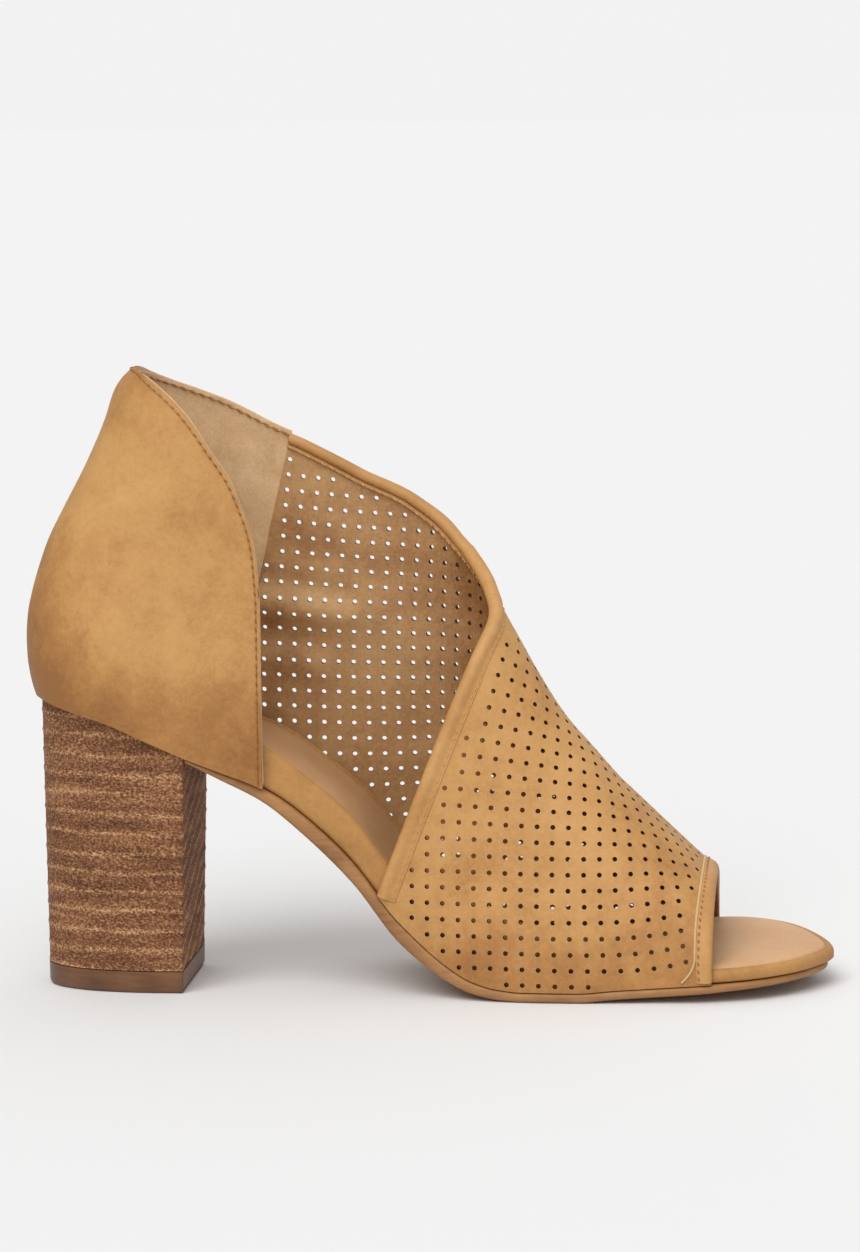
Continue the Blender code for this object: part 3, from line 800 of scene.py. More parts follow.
def add_cord(bm, line, radius):
    """A thin raised line that follows (point, normal) pairs."""
    rings = []
    for k, (point, normal) in enumerate(line):
        run = (line[min(k + 1, len(line) - 1)][0] - line[max(k - 1, 0)][0]).normalized()
        side = normal.cross(run).normalized()
        rings.append(ring_round(bm, point, side, normal, radius, CORD_SIDES))
    join_rings(bm, rings)
    bm.faces.new(rings[0])
    bm.faces.new(list(reversed(rings[-1])))


def add_piece(name, bm, finish, slot_name=None, replaced=(), sharp=45):
    """Makes a piece of the shoe from a bmesh."""
    bmesh.ops.recalc_face_normals(bm, faces=bm.faces)
    mesh = mesh_of(bm, name)
    for one in finish if isinstance(finish, (list, tuple)) else [finish]:
        mesh.materials.append(one)
    mesh.shade_smooth()
    mesh.set_sharp_from_angle(angle=math.radians(sharp))
    piece = linked(name, mesh)
    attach(piece, "root")
    if replaced:
        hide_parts(*replaced)
    return piece


# Creases of the worn-in vamp: soft troughs (below 0) and ridges along short lines on the last

Crease = namedtuple("Crease", "start end reach depth")
CREASES = (
    Crease((0.030, 0.026, 0.119), (0.064, 0.024, 0.1125), 0.0048, 0.0014),
    Crease((0.030, 0.026, 0.1115), (0.066, 0.025, 0.1055), 0.0046, -0.0014),
    Crease((0.030, 0.026, 0.103), (0.056, 0.025, 0.098), 0.0046, 0.0013),
    Crease((0.032, 0.026, 0.094), (0.056, 0.026, 0.090), 0.0046, -0.0008),
    Crease((0.056, 0.022, 0.133), (0.088, 0.020, 0.123), 0.0060, -0.0008),
    Crease((0.050, 0.024, 0.126), (0.080, 0.022, 0.117), 0.0050, 0.0006),
    Crease((0.094, 0.016, 0.104), (0.086, 0.026, 0.070), 0.0070, 0.0010),
    Crease((0.078, 0.026, 0.082), (0.096, 0.030, 0.050), 0.0060, -0.0008),
    Crease((0.112, -0.024, 0.066), (0.138, -0.026, 0.046), 0.0090, 0.0006),
    Crease((0.118, -0.028, 0.036), (0.150, -0.030, 0.028), 0.0080, -0.0005),
    Crease((0.126, 0.024, 0.062), (0.150, 0.036, 0.024), 0.0080, -0.0007),
    Crease((0.116, 0.020, 0.084), (0.134, 0.038, 0.036), 0.0080, 0.0006),
)


def creased(point):
    """How far the creases lift or sink the leather at a point."""
    total = 0.0
    for crease in CREASES:
        start, end = Vector(crease.start), Vector(crease.end)
        run = end - start
        t = min(max((point - start).dot(run) / run.length_squared, 0.0), 1.0)
        away = (point - start - run * t).length
        total += crease.depth * math.exp(-((away / crease.reach) ** 2))
    return total


# Punched holes


def flat_pattern(surface):
    """Unrolls a sheet into flat leather of the same size, as the cutter's pattern was.
    Returns its triangles, with their corners on the shoe and in the pattern."""
    copy = surface.copy()
    bmesh.ops.triangulate(copy, faces=copy.faces)
    mesh = mesh_of(copy, "pattern")
    sheet = linked("pattern", mesh)
    bpy.context.view_layer.objects.active = sheet
    sheet.select_set(True)
    bpy.ops.object.mode_set(mode="EDIT")
    bpy.ops.mesh.select_all(action="SELECT")
    bpy.ops.uv.unwrap(method="MINIMUM_STRETCH", margin=0.0)
    bpy.ops.object.mode_set(mode="OBJECT")
    spots = [v.co.copy() for v in mesh.vertices]
    corners = [tuple(p.vertices) for p in mesh.polygons]
    flat = [Vector((0, 0, 0)) for _ in spots]
    for loop, data in zip(mesh.loops, mesh.uv_layers.active.data):
        flat[loop.vertex_index] = Vector((*data.uv, 0))
    real = sum((spots[e.vertices[0]] - spots[e.vertices[1]]).length for e in mesh.edges)
    drawn = sum((flat[e.vertices[0]] - flat[e.vertices[1]]).length for e in mesh.edges)
    flat = [spot * real / drawn for spot in flat]
    bpy.data.objects.remove(sheet)
    bpy.data.meshes.remove(mesh)
    return spots, flat, corners


def hole_places(surface, borders):
    """Centres of the holes: a square grid in the flat pattern, clear of the borders. Its
    rows follow the feather edge under the inner side of the ball."""
    spots, flat, corners = flat_pattern(surface)
    ends = [rib_point(INNER, along, math.radians(ROW_ANGLE)) for along in ROW_ALONG]
    near = [min(range(len(spots)), key=lambda k: (spots[k] - end).length_squared) for end in ends]
    run = (flat[near[1]] - flat[near[0]]).normalized()
    run.rotate(Euler((0, 0, math.radians(ROW_TURN))))
    across = Vector((-run.y, run.x, 0))
    start = flat[near[0]]
    tree = BVHTree.FromPolygons(flat, corners)
    edges = [(np.array([tuple(v.co) for v in chain]), margin) for chain, margin in borders]
    reach = int(0.3 / HOLE_PITCH)
    centres = []
    for i in range(-reach, reach + 1):
        for j in range(-reach, reach + 1):
            spot = start + run * i * HOLE_PITCH + across * j * HOLE_PITCH
            found = tree.ray_cast(Vector((spot.x, spot.y, 1)), Vector((0, 0, -1)))
            if found[0] is None:
                continue
            a, b, c = corners[found[2]]
            drawn, real = (flat[a], flat[b], flat[c]), (spots[a], spots[b], spots[c])
            point = barycentric_transform(found[0], *drawn, *real)
            here = np.array(point)
            if all(np.linalg.norm(chain - here, axis=1).min() > margin for chain, margin in edges):
                centres.append(point)
    return centres


def punched(name, shell, skin, centres, finishes):
    """Punches round holes through a sheet, and shades it as the smooth skin that it was."""
    bmesh.ops.recalc_face_normals(shell, faces=shell.faces)
    piece = linked(name, mesh_of(shell, name))
    punches = bmesh.new()
    for centre in centres:
        spot, normal = skin.nearest(centre)
        side = normal.orthogonal().normalized()
        other = normal.cross(side)
        rings = []
        for lift in (-0.0015, 0.0035):
            middle = spot + normal * (lift + creased(spot))
            rings.append(ring_round(punches, middle, side, other, HOLE_RADIUS, HOLE_SIDES))
        join_rings(punches, rings)
        punches.faces.new(list(reversed(rings[0])))
        punches.faces.new(rings[1])
    bmesh.ops.recalc_face_normals(punches, faces=punches.faces)
    cutter = linked("punches", mesh_of(punches, "punches"))
    cut = piece.modifiers.new("holes", "BOOLEAN")
    cut.operation = "DIFFERENCE"
    cut.solver = "MANIFOLD"
    cut.object = cutter
    bpy.context.view_layer.update()
    solid = piece.evaluated_get(bpy.context.evaluated_depsgraph_get())
    holed = bpy.data.meshes.new_from_object(solid)
    piece.modifiers.remove(cut)
    piece.data = holed
    bpy.data.objects.remove(cutter)
    holed.materials.clear()
    for finish in finishes:
        holed.materials.append(finish)
    shade_as_skin(holed, skin)
    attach(piece, "root")
    return piece


def shade_as_skin(mesh, skin):
    """Gives a sheet's faces the skin's smooth normals, and its own finish to each side and to
    the walls of the holes."""
    mesh.shade_smooth()
    smooth = [skin.shading(*skin.nearest(v.co)) for v in mesh.vertices]
    normals = []
    for face in mesh.polygons:
        facing = face.normal.dot(smooth[face.vertices[0]])
        face.material_index = 0 if facing > 0.5 else 1 if facing < -0.5 else 2
        for corner in face.vertices:
            if facing > 0.5:
                normals.append(smooth[corner])
            elif facing < -0.5:
                normals.append(-smooth[corner])
            else:
                normals.append(face.normal)
    mesh.normals_split_custom_set(normals)


# Sole, sock and heel


def fine_layer(name, low, high, grow, edge, finish, flat_back=None, lean=None, **facts):
    """A sole layer between the heights low(x) and high(x), with a rounded edge. Its top leans
    by lean(x, y)."""
    bm = bmesh.new()
    rings = []
    for inset, climb in edge:
        inner, outer = grown_outline(lambda x: grow(x) - inset)
        back = inner[0].x + 0.00005 if flat_back is None else flat_back
        front = min(inner[-1].x, outer[-1].x) - 0.00005
        first = 0.0 if flat_back is None else math.pi / 2
        stations = []
        for k in range(LAYER_STATIONS + 1):
            turn = first + (math.pi - first) * k / LAYER_STATIONS
            gone = math.cos(first) - math.cos(turn)
            stations.append(back + (front - back) * gone / (math.cos(first) + 1))
        sides = [(x, chain_y(inner, x)) for x in stations]
        sides += [(x, chain_y(outer, x)) for x in reversed(stations)]
        heights = [low(x) + (high(x) - low(x)) * climb for x, _ in sides]
        if lean:
            heights = [z + lean(x, y) * min(climb, 1.0) for (x, y), z in zip(sides, heights)]
        rings.append([bm.verts.new((x, y, z)) for (x, y), z in zip(sides, heights)])
    join_rings(bm, rings)
    count = len(rings[0])
    for ring in (rings[0], rings[-1]):
        for k in range(count // 2 - 1):
            bm.faces.new((ring[k], ring[k + 1], ring[count - 2 - k], ring[count - 1 - k]))
    return add_piece(name, bm, finish, **facts)


def heel_size(z):
    """Length, width and forward shift of the heel at a height: it widens towards the seat."""
    climb = z / (SEAT_HEIGHT + HEEL_TIP_HEIGHT)
    length = HEEL_TIP_LENGTH + BREAST_LEAN * climb
    width = HEEL_TIP_WIDTH + (HEEL_TOP_WIDTH - HEEL_TIP_WIDTH) * climb
    return length, width, BREAST_LEAN * climb / 2


def heel_outline(z):
    """Points (x, y, outward x, outward y) round the heel at a height: a round back and a
    flat breast with small rounded corners."""
    length, width, shift = heel_size(z)
    points = []
    for k in range(HEEL_BACK_STEPS + 1):
        turn = -math.pi / 2 - math.pi * k / HEEL_BACK_STEPS
        x = shift + length / 2 - length * abs(math.cos(turn)) ** (2 / CORNER_POWER)
        y = width / 2 * abs(math.sin(turn)) ** (2 / CORNER_POWER) * math.copysign(1, math.sin(turn))
        points.append([x, y])
    front = shift + length / 2
    for point in points:
        point[0] = min(point[0], front - CORNER_RADIUS * 0.3)
    for k in range(HEEL_BREAST_STEPS + 1):
        t = k / HEEL_BREAST_STEPS
        y = (width / 2 - CORNER_RADIUS * 0.3) * (1 - 2 * t)
        points.append([front, y])
    count = len(points)
    placed = []
    for k, (x, y) in enumerate(points):
        before, after = points[k - 1], points[(k + 1) % count]
        run = Vector((after[0] - before[0], after[1] - before[1])).normalized()
        placed.append((x, y, run.y * -1, run.x))
    middle = placed[HEEL_BACK_STEPS // 2]
    flip = 1 if middle[2] < 0 else -1
    return [(x, y, nx * flip, ny * flip) for x, y, nx, ny in placed]


def layer_shift(x, y, z):
    """How far the heel's layer lines lie above level at a place: they waver round the sides,
    and slant across the breast by three whole layers."""
    length, width, shift = heel_size(z)
    waver = JOINT_WAVER * noise.noise(Vector((x * 60, y * 60, z * 110)))
    slant = 0.0
    if x > shift + length / 2 - 0.0008:
        slant = BREAST_SLANT * (y + width / 2) / width
    return waver + slant


def heel_stack(finish):
    """The stacked block: thin raised joints, and layers that are worn a little hollow."""
    bm = bmesh.new()
    bottom = HEEL_TIP_HEIGHT + GAP
    joints = []
    rings = []
    for row in range(HEEL_ROWS + 1):
        t = row / HEEL_ROWS
        level = bottom + (SEAT_HEIGHT - bottom) * t
        ring = []
        for k, (x, y, nx, ny) in enumerate(heel_outline(level)):
            z = bottom + (feather(x) - GAP - bottom) * t
            cycle = (z - bottom - layer_shift(x, y, z)) / LAYER_HEIGHT
            near = abs(cycle - round(cycle)) * LAYER_HEIGHT
            joint = math.exp(-((near / JOINT_WIDTH) ** 2))
            rough = noise.noise(Vector((x * 900, y * 900, z * 900)))
            out = JOINT_RISE * joint + GRAIN_RISE * rough - LAYER_SINK
            ring.append(bm.verts.new((x + nx * out, y + ny * out, z)))
            joints.append(joint * (BREAST_JOINT if k > HEEL_BACK_STEPS else 1.0))
        rings.append(ring)
    join_rings(bm, rings)
    bm.faces.new(rings[0])
    bm.faces.new(rings[-1])
    piece = add_piece("heel_block", bm, finish, "stacked_leather", ("heel_stack",))
    mark = piece.data.attributes.new("joint", "FLOAT", "POINT")
    mark.data.foreach_set("value", joints)
    return piece


def heel_tip(finish):
    """The top lift, with its edge eased at the floor."""
    bm = bmesh.new()
    rings = []
    eased = ((0, 0.0011), (0.0002, 0.0006), (0.0007, 0.0002), (0.0014, 0), (HEEL_TIP_HEIGHT, 0))
    for z, inset in eased:
        outline = heel_outline(z)
        rings.append([bm.verts.new((x - nx * inset, y - ny * inset, z)) for x, y, nx, ny in outline])
    join_rings(bm, rings)
    bm.faces.new(rings[0])
    bm.faces.new(rings[-1])
    return add_piece("top_lift", bm, finish, "tip_rubber", ("heel_tip",))


# Finishes


def linear(hex_text):
    """Linear colour of an sRGB hex value."""
    parts = [int(hex_text[k : k + 2], 16) / 255 for k in (0, 2, 4)]
    return tuple(c / 12.92 if c <= 0.04045 else ((c + 0.055) / 1.055) ** 2.4 for c in parts) + (1,)


def add(tree, kind, inputs=None, **settings):
    """Adds a node with its settings, and gives its inputs values or links."""
    made = tree.nodes.new(kind)
    for name, value in settings.items():
        setattr(made, name, value)
    for key, value in (inputs or {}).items():
        if isinstance(value, bpy.types.NodeSocket):
            tree.links.new(value, made.inputs[key])
        else:
            made.inputs[key].default_value = value
    return made


def ramp(tree, factor, stops):
    """A colour ramp of (place, hex) stops."""
    made = add(tree, "ShaderNodeValToRGB", {0: factor})
    elements = made.color_ramp.elements
    while len(elements) < len(stops):
        elements.new(0.5)
    for element, (at, colour) in zip(elements, stops):
        element.position = at
        element.color = linear(colour)
    return made.outputs["Color"]


def new_finish(name):
    """A new material with its tree and its shader."""
    made = bpy.data.materials.new(name)
    made.use_nodes = True
    tree = made.node_tree
    return made, tree, tree.nodes["Principled BSDF"]


# Painted shade in leather's colour, partly wax burnish at the counter's seat: darker from start to end along
# a direction, by depth
ShadeAndBurnish = namedtuple("ShadeAndBurnish", "along start end depth")


def leather(name, stops, roughness=(0.5, 0.7), cloud=0.030, grain=0.0007, relief=0.00010, shade_and_burnish=()):
    """Waxed nubuck: clouds of lighter and darker tan, a fine matt grain that scatters light
    softly, and bands of painted shade (partly wax burnish at the seat) that darken it."""
    made, tree, shader = new_finish(name)
    where = add(tree, "ShaderNodeTexCoord").outputs["Object"]
    clouds = add(tree, "ShaderNodeTexNoise", {"Vector": where, "Scale": 1 / cloud, "Detail": 3.0})
    patches = add(tree, "ShaderNodeTexNoise", {
        "Vector": where, "Scale": 1 / 0.008, "Detail": 5.0, "Roughness": 0.65,
    })
    pebbles = add(tree, "ShaderNodeTexNoise", {"Vector": where, "Scale": 1 / 0.0018, "Detail": 2.0})
    fibre = add(tree, "ShaderNodeTexNoise", {
        "Vector": where, "Scale": 1 / grain, "Detail": 3.0, "Roughness": 0.6,
    })
    tone = add(tree, "ShaderNodeMix", {0: 0.38, 2: clouds.outputs[0], 3: patches.outputs[0]})
    tone = add(tree, "ShaderNodeMix", {0: 0.16, 2: tone.outputs[0], 3: pebbles.outputs[0]})
    tone = add(tree, "ShaderNodeMix", {0: 0.16, 2: tone.outputs[0], 3: fibre.outputs[0]}).outputs[0]
    # Each band paints shade into the colour: darker towards one end along its direction.
    for mark in shade_and_burnish:
        spot = add(tree, "ShaderNodeVectorMath", {0: where, 1: mark.along}, operation="DOT_PRODUCT")
        near = add(tree, "ShaderNodeMapRange", {
            "Value": spot.outputs["Value"], "From Min": mark.start, "From Max": mark.end,
            "To Min": -mark.depth, "To Max": 0.0,
        }, interpolation_type="SMOOTHSTEP").outputs[0]
        tone = add(tree, "ShaderNodeMath", {0: tone, 1: near}, operation="ADD").outputs[0]
    tree.links.new(ramp(tree, tone, stops), shader.inputs["Base Color"])
    shine = add(tree, "ShaderNodeMapRange", {
        "Value": patches.outputs[0], "From Min": 0.3, "From Max": 0.7,
        "To Min": roughness[0], "To Max": roughness[1],
    })
    tree.links.new(shine.outputs[0], shader.inputs["Roughness"])
    height = add(tree, "ShaderNodeMix", {0: 0.4, 2: fibre.outputs[0], 3: pebbles.outputs[0]}).outputs[0]
    bump = add(tree, "ShaderNodeBump", {"Height": height, "Distance": relief, "Strength": 0.8})
    tree.links.new(bump.outputs[0], shader.inputs["Normal"])
    shader.inputs["Specular IOR Level"].default_value = 0.3
    return made


def suede(name, stops, nap=0.0009):
    """Pigskin suede: a short nap that is lighter where it was stroked."""
    made, tree, shader = new_finish(name)
    where = add(tree, "ShaderNodeTexCoord").outputs["Object"]
    strokes = add(tree, "ShaderNodeTexNoise", {"Vector": where, "Scale": 1 / 0.012, "Detail": 3.0})
    fibres = add(tree, "ShaderNodeTexNoise", {
        "Vector": where, "Scale": 1 / nap, "Detail": 4.0, "Roughness": 0.75,
    })
    tone = add(tree, "ShaderNodeMix", {0: 0.45, 2: strokes.outputs[0], 3: fibres.outputs[0]}).outputs[0]
    tree.links.new(ramp(tree, tone, stops), shader.inputs["Base Color"])
    bump = add(tree, "ShaderNodeBump", {"Height": fibres.outputs[0], "Distance": 0.0001, "Strength": 0.8})
    tree.links.new(bump.outputs[0], shader.inputs["Normal"])
    shader.inputs["Roughness"].default_value = 0.9
    shader.inputs["Specular IOR Level"].default_value = 0.15
    shader.inputs["Sheen Weight"].default_value = 0.3
    return made


def stacked_leather(name):
    """Stacked leather board: rough end grain with pale flecks between thin pale joints."""
    made, tree, shader = new_finish(name)
    where = add(tree, "ShaderNodeTexCoord").outputs["Object"]
    joint = add(tree, "ShaderNodeAttribute", attribute_name="joint").outputs["Fac"]
    flat = add(tree, "ShaderNodeMapping", {"Vector": where, "Scale": (1.0, 1.0, 1.4)}).outputs[0]
    flecks = add(tree, "ShaderNodeTexNoise", {
        "Vector": flat, "Scale": 1 / 0.0008, "Detail": 2.0, "Roughness": 0.6,
    }).outputs[0]
    sharp = add(tree, "ShaderNodeMapRange", {"Value": flecks, "From Min": 0.32, "From Max": 0.70}).outputs[0]
    bands = add(tree, "ShaderNodeTexNoise", {
        "Vector": add(tree, "ShaderNodeMapping", {"Vector": where, "Scale": (0.25, 0.25, 1.6)}).outputs[0],
        "Scale": 1 / 0.006, "Detail": 3.0,
    })
    tone = add(tree, "ShaderNodeMix", {0: 0.55, 2: sharp, 3: bands.outputs[0]}).outputs[0]
    worn = add(tree, "ShaderNodeMath", {0: sharp, 1: 0.7, 2: 0.3}, operation="MULTIPLY_ADD").outputs[0]
    worn = add(tree, "ShaderNodeMath", {0: joint, 1: worn}, operation="MULTIPLY").outputs[0]
    lift = add(tree, "ShaderNodeMath", {0: worn, 1: 0.26, 2: tone}, operation="MULTIPLY_ADD").outputs[0]
    browns = ((0.22, "4A2F1F"), (0.42, "73492E"), (0.55, "8F6140"), (0.68, "AE7F55"), (0.86, "CDA175"))
    tree.links.new(ramp(tree, lift, browns), shader.inputs["Base Color"])
    height = add(tree, "ShaderNodeMath", {0: joint, 1: 0.3, 2: sharp}, operation="MULTIPLY_ADD").outputs[0]
    bump = add(tree, "ShaderNodeBump", {"Height": height, "Distance": 0.0004, "Strength": 0.9})
    tree.links.new(bump.outputs[0], shader.inputs["Normal"])
    shader.inputs["Roughness"].default_value = 0.78
    shader.inputs["Specular IOR Level"].default_value = 0.3
    return made


def sole_rubber(name, stops, roughness):
    """Coloured sole rubber: smooth, with faint drag marks from the trimming wheel."""
    made, tree, shader = new_finish(name)
    where = add(tree, "ShaderNodeTexCoord").outputs["Object"]
    drawn = add(tree, "ShaderNodeMapping", {"Vector": where, "Scale": (0.15, 0.15, 1.0)}).outputs[0]
    drags = add(tree, "ShaderNodeTexNoise", {"Vector": drawn, "Scale": 1 / 0.0012, "Detail": 4.0})
    stain = add(tree, "ShaderNodeTexNoise", {"Vector": where, "Scale": 1 / 0.015, "Detail": 3.0})
    tone = add(tree, "ShaderNodeMix", {0: 0.6, 2: drags.outputs[0], 3: stain.outputs[0]}).outputs[0]
    tree.links.new(ramp(tree, tone, stops), shader.inputs["Base Color"])
    bump = add(tree, "ShaderNodeBump", {"Height": drags.outputs[0], "Distance": 0.00004, "Strength": 0.5})
    tree.links.new(bump.outputs[0], shader.inputs["Normal"])
    shader.inputs["Roughness"].default_value = roughness
    return made


def waxed_thread(name, colour):
    """Waxed polyester thread: smooth, with the twist of its plies."""
    made, tree, shader = new_finish(name)
    where = add(tree, "ShaderNodeTexCoord").outputs["Object"]
    twist = add(tree, "ShaderNodeTexWave", {
        "Vector": where, "Scale": 900.0, "Distortion": 1.0,
    }, bands_direction="DIAGONAL")
    bump = add(tree, "ShaderNodeBump", {"Height": twist.outputs["Fac"], "Distance": 0.00008})
    tree.links.new(bump.outputs[0], shader.inputs["Normal"])
    shader.inputs["Base Color"].default_value = linear(colour)
    shader.inputs["Roughness"].default_value = 0.55
    return made


# The shoe's pieces


def vamp_and_bindings(tan, inside, cut, edge, thread, dark_thread, pale_thread):
    """The punched vamp, its folded bindings, and their stitches and piping."""
    surface, topline, toe_rim = vamp_surface(VAMP_FINE_RIBS, SIDE_WALL_RIBS, VAMP_ROWS)
    ease_throat(surface, topline)
    indexed(surface)
    skin = Skin(surface, creased)
    foot = [v for v in surface.verts if on_feather(v.co)]
    edge_line = set(topline)
    seam = [v for v in surface.verts if v.is_boundary and v.co.y > 0]
    seam = [v for v in seam if abs(share(v.co.x) - SEAM_ALONG) < 0.13]
    seam = [v for v in seam if v not in edge_line and not on_feather(v.co)]
    borders = [
        (topline[:THROAT_POINT], COLLAR_MARGIN), (topline[THROAT_POINT:], CUT_OUT_MARGIN),
        (toe_rim, TOE_MARGIN), (foot, SOLE_MARGIN), (seam, SEAM_MARGIN),
    ]
    centres = hole_places(surface, borders)
    shell = thick_sheet(surface, 0.0, VAMP_WALL, rise=creased)
    vamp = punched("vamp", shell, skin, centres, [tan, inside, cut])
    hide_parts("upper")

    over = VAMP_WALL
    frames = inward_frames(resampled(topline, EDGE_STEP, 0.0, EDGE_END_GAP))
    fold = (
        (1.0, over - 0.0001), (0.99, over + 0.00015), (0.90, over + 0.0003), (0.72, over + 0.00035),
        (0.62, over + 0.0006), (0.46, over + 0.0011), (0.25, over + 0.0013), (0.05, over + 0.0009),
        (-0.08, over + 0.0002), (-0.12, 0.0007), (-0.09, -0.0003), (0.02, -0.0010), (0.2, -0.0014),
        (0.42, -0.0013), (0.54, -0.0009), (0.58, -0.0001), (0.61, -0.0001), (0.66, -0.0006),
        (0.76, -0.0008), (0.88, -0.0007), (0.93, -0.0003), (0.94, 0.0001),
    )
    swept_binding(
        "topline_fold", frames, fold, skin, fold_width, (edge, edge), "binding_leather", ("topline_binding",)
    )
    rim_frames = inward_frames(resampled(toe_rim, EDGE_STEP, EDGE_END_GAP, EDGE_END_GAP))
    rim_fold = (
        (1.0, over - 0.0001), (0.985, over + 0.0002), (0.88, over + 0.0004), (0.65, over + 0.0007),
        (0.40, over + 0.0009), (0.18, over + 0.0007), (0.02, over + 0.0001), (-0.06, 0.0009),
        (-0.04, 0.0001), (0.06, -0.0004), (0.3, -0.0006), (0.6, -0.0004), (0.66, 0.0001),
    )
    # The toe fold's inner faces take the darker flesh-side finish as painted shade inside the toe opening.
    swept_binding(
        "toe_fold", rim_frames, rim_fold, skin, toe_band, (edge, inside), "binding_leather", ("toe_binding",)
    )

    sewn = bmesh.new()
    add_stitches(sewn, offset_line(frames, lambda s: fold_width(s) * 0.84, over + 0.0004, skin))
    add_stitches(sewn, offset_line(frames, lambda s: fold_width(s) * 0.80, -0.0008, skin))
    add_piece("vamp_stitches", sewn, thread, "binding_leather")
    sewn = bmesh.new()
    toe_row = offset_line(rim_frames, lambda s: toe_band(s) * 0.84, over + 0.0006, skin)
    add_stitches(sewn, toe_row, step=0.0022, length=0.0016)
    add_piece("toe_stitches", sewn, dark_thread, "binding_leather")
    piping = bmesh.new()
    add_cord(piping, offset_line(rim_frames, piping_depth, over + 0.0001, skin), PIPING_RADIUS)
    add_piece("toe_piping", piping, pale_thread, "binding_leather")
    ridge = bmesh.new()
    lower = frames[int(len(frames) * RIDGE_START) :]
    add_cord(ridge, offset_line(lower, ridge_depth, over + 0.00005, skin), RIDGE_RADIUS)
    add_piece("fold_ridge", ridge, edge, "binding_leather")


def fold_width(s):
    """The fold along the topline is a little wider towards its lower end."""
    return TOPLINE_BINDING_WIDTH * (0.88 + 0.16 * s)


def ridge_depth(s):
    """The ridge follows the lower part of the fold, just past its edge."""
    return fold_width(RIDGE_START + 0.38 * s) * (0.98 + 0.05 * s)


def toe_band(s):
    """The toe's band is a little wider over the toes than at the sole."""
    return TOE_BAND * (1 + 0.25 * math.sin(math.pi * s))


def piping_depth(s):
    """The toe's piping runs along its binding, and swings back at the sole."""
    end = max(0.0, 1 - min(s, 1 - s) / 0.07)
    return toe_band(s) + 0.0003 + PIPING_SWING * end**2


def draw_in(surface, frames, inset, reach):
    """Draws a sheet in from a free edge, easing off over a reach, so that a rim fits over it."""
    for vertex in surface.verts:
        seated = on_feather(vertex.co)
        point, _, inward = min(frames, key=lambda frame: (frame[0] - vertex.co).length_squared)
        ease = 1 - (point - vertex.co).length / reach
        if ease > 0:
            vertex.co += inward * inset * ease
            if seated:
                vertex.co.z = feather(vertex.co.x)
    indexed(surface)


def quarter(tan, lining, thread):
    """The quarter with its folded top and front edge, its suede lining and its stitches."""
    counts = (QUARTER_SIDE_RIBS, QUARTER_TURN_RIBS, QUARTER_FRONT_RIBS, QUARTER_ROWS)
    surface, edge_chain = quarter_surface(*counts)
    indexed(surface)
    skin = Skin(surface)
    frames = inward_frames(resampled(edge_chain, RIM_STEP, 0.0, EDGE_END_GAP))
    draw_in(surface, frames, RIM_INSET, RIM_EASE)
    add_piece("quarter", thick_sheet(surface, LINING, QUARTER_WALL), tan, "upper_leather", ("upper",))
    add_piece("quarter_lining", thick_sheet(surface, -0.0001, LINING, 1), lining, "upper_leather", ("upper",))
    top = QUARTER_WALL
    rim = (
        (1.0, top - 0.0002), (0.98, top), (0.86, top + 0.00024), (0.66, top + 0.0005), (0.46, top + 0.0005),
        (0.26, top + 0.0002), (0.10, top - 0.0004), (0.0, top - 0.0012), (0.03, top - 0.0019),
        (0.12, -0.0001), (0.24, -0.0004), (0.34, -0.0004), (0.40, -0.0001), (0.42, 0.0002),
    )
    swept_binding(
        "counter_rim", frames, rim, skin, lambda s: RIM_WIDTH, (tan, tan), "upper_leather", ("upper",)
    )
    sewn = bmesh.new()
    outer_row = offset_line(frames, RIM_WIDTH + 0.0001, top + 0.0001, skin)
    add_stitches(sewn, outer_row, radius=COUNTER_THREAD_RADIUS)
    lining_row = offset_line(frames, LINING_SEAM_DEPTH, -0.0003, skin)
    add_stitches(sewn, lining_row, step=0.003, length=0.0022, radius=LINING_THREAD_RADIUS)
    add_piece("quarter_stitches", sewn, thread, "upper_leather")


def cupped(x, y):
    """The toe end of the foot bed rises a little towards the outer side."""
    near_toe = math.exp(-(((x - CUP_MIDDLE) / CUP_REACH) ** 2))
    return CUP_RISE * near_toe * min(max((y + 0.010) / 0.040, 0.0), 1.0)


def sole(tan, sock_finish, rubber):
    """Outsole, leather-wrapped board and sock."""
    breast = HEEL_TIP_LENGTH / 2 + BREAST_LEAN + GAP
    trimmed = (
        (0.0022, 0.0), (0.0010, 0.04), (0.0003, 0.16), (0.0, 0.38), (0.0, 0.80), (0.0003, 0.94),
        (0.0008, 1.0),
    )
    fine_layer("outsole_trimmed", underside, lambda x: feather(x) - GAP,
               lambda x: row_value(WELT_ROWS, "out", share(x)), trimmed, rubber,
               flat_back=breast, slot_name="outsole_rubber", replaced=("outsole",))
    rolled = (
        (0.0012, 0.0), (0.0004, 0.06), (0.0, 0.2), (0.0, 0.66), (0.0002, 0.88), (0.0006, 1.06),
        (0.0012, 1.17), (0.0019, 1.20), (0.0025, 1.14), (0.0030, 1.02),
    )
    fine_layer("rand", feather, board_top, lambda x: 0.0, rolled, tan, lean=cupped,
               slot_name="rand_leather", replaced=("insole_board",))
    padded = (
        (0.0, 0.0), (0.0, 0.35), (0.0003, 0.6), (0.0009, 0.8), (0.0020, 0.95), (0.0040, 1.05),
        (0.0080, 1.2), (0.0130, 1.3),
    )
    fine_layer("sock", lambda x: board_top(x) - 0.0003, lambda x: board_top(x) + GAP + INSOLE_THICKNESS,
               lambda x: -INSOLE_MARGIN * 2, padded, sock_finish, lean=cupped,
               slot_name="sock_leather", replaced=("insole",))


# Camera, floor and light


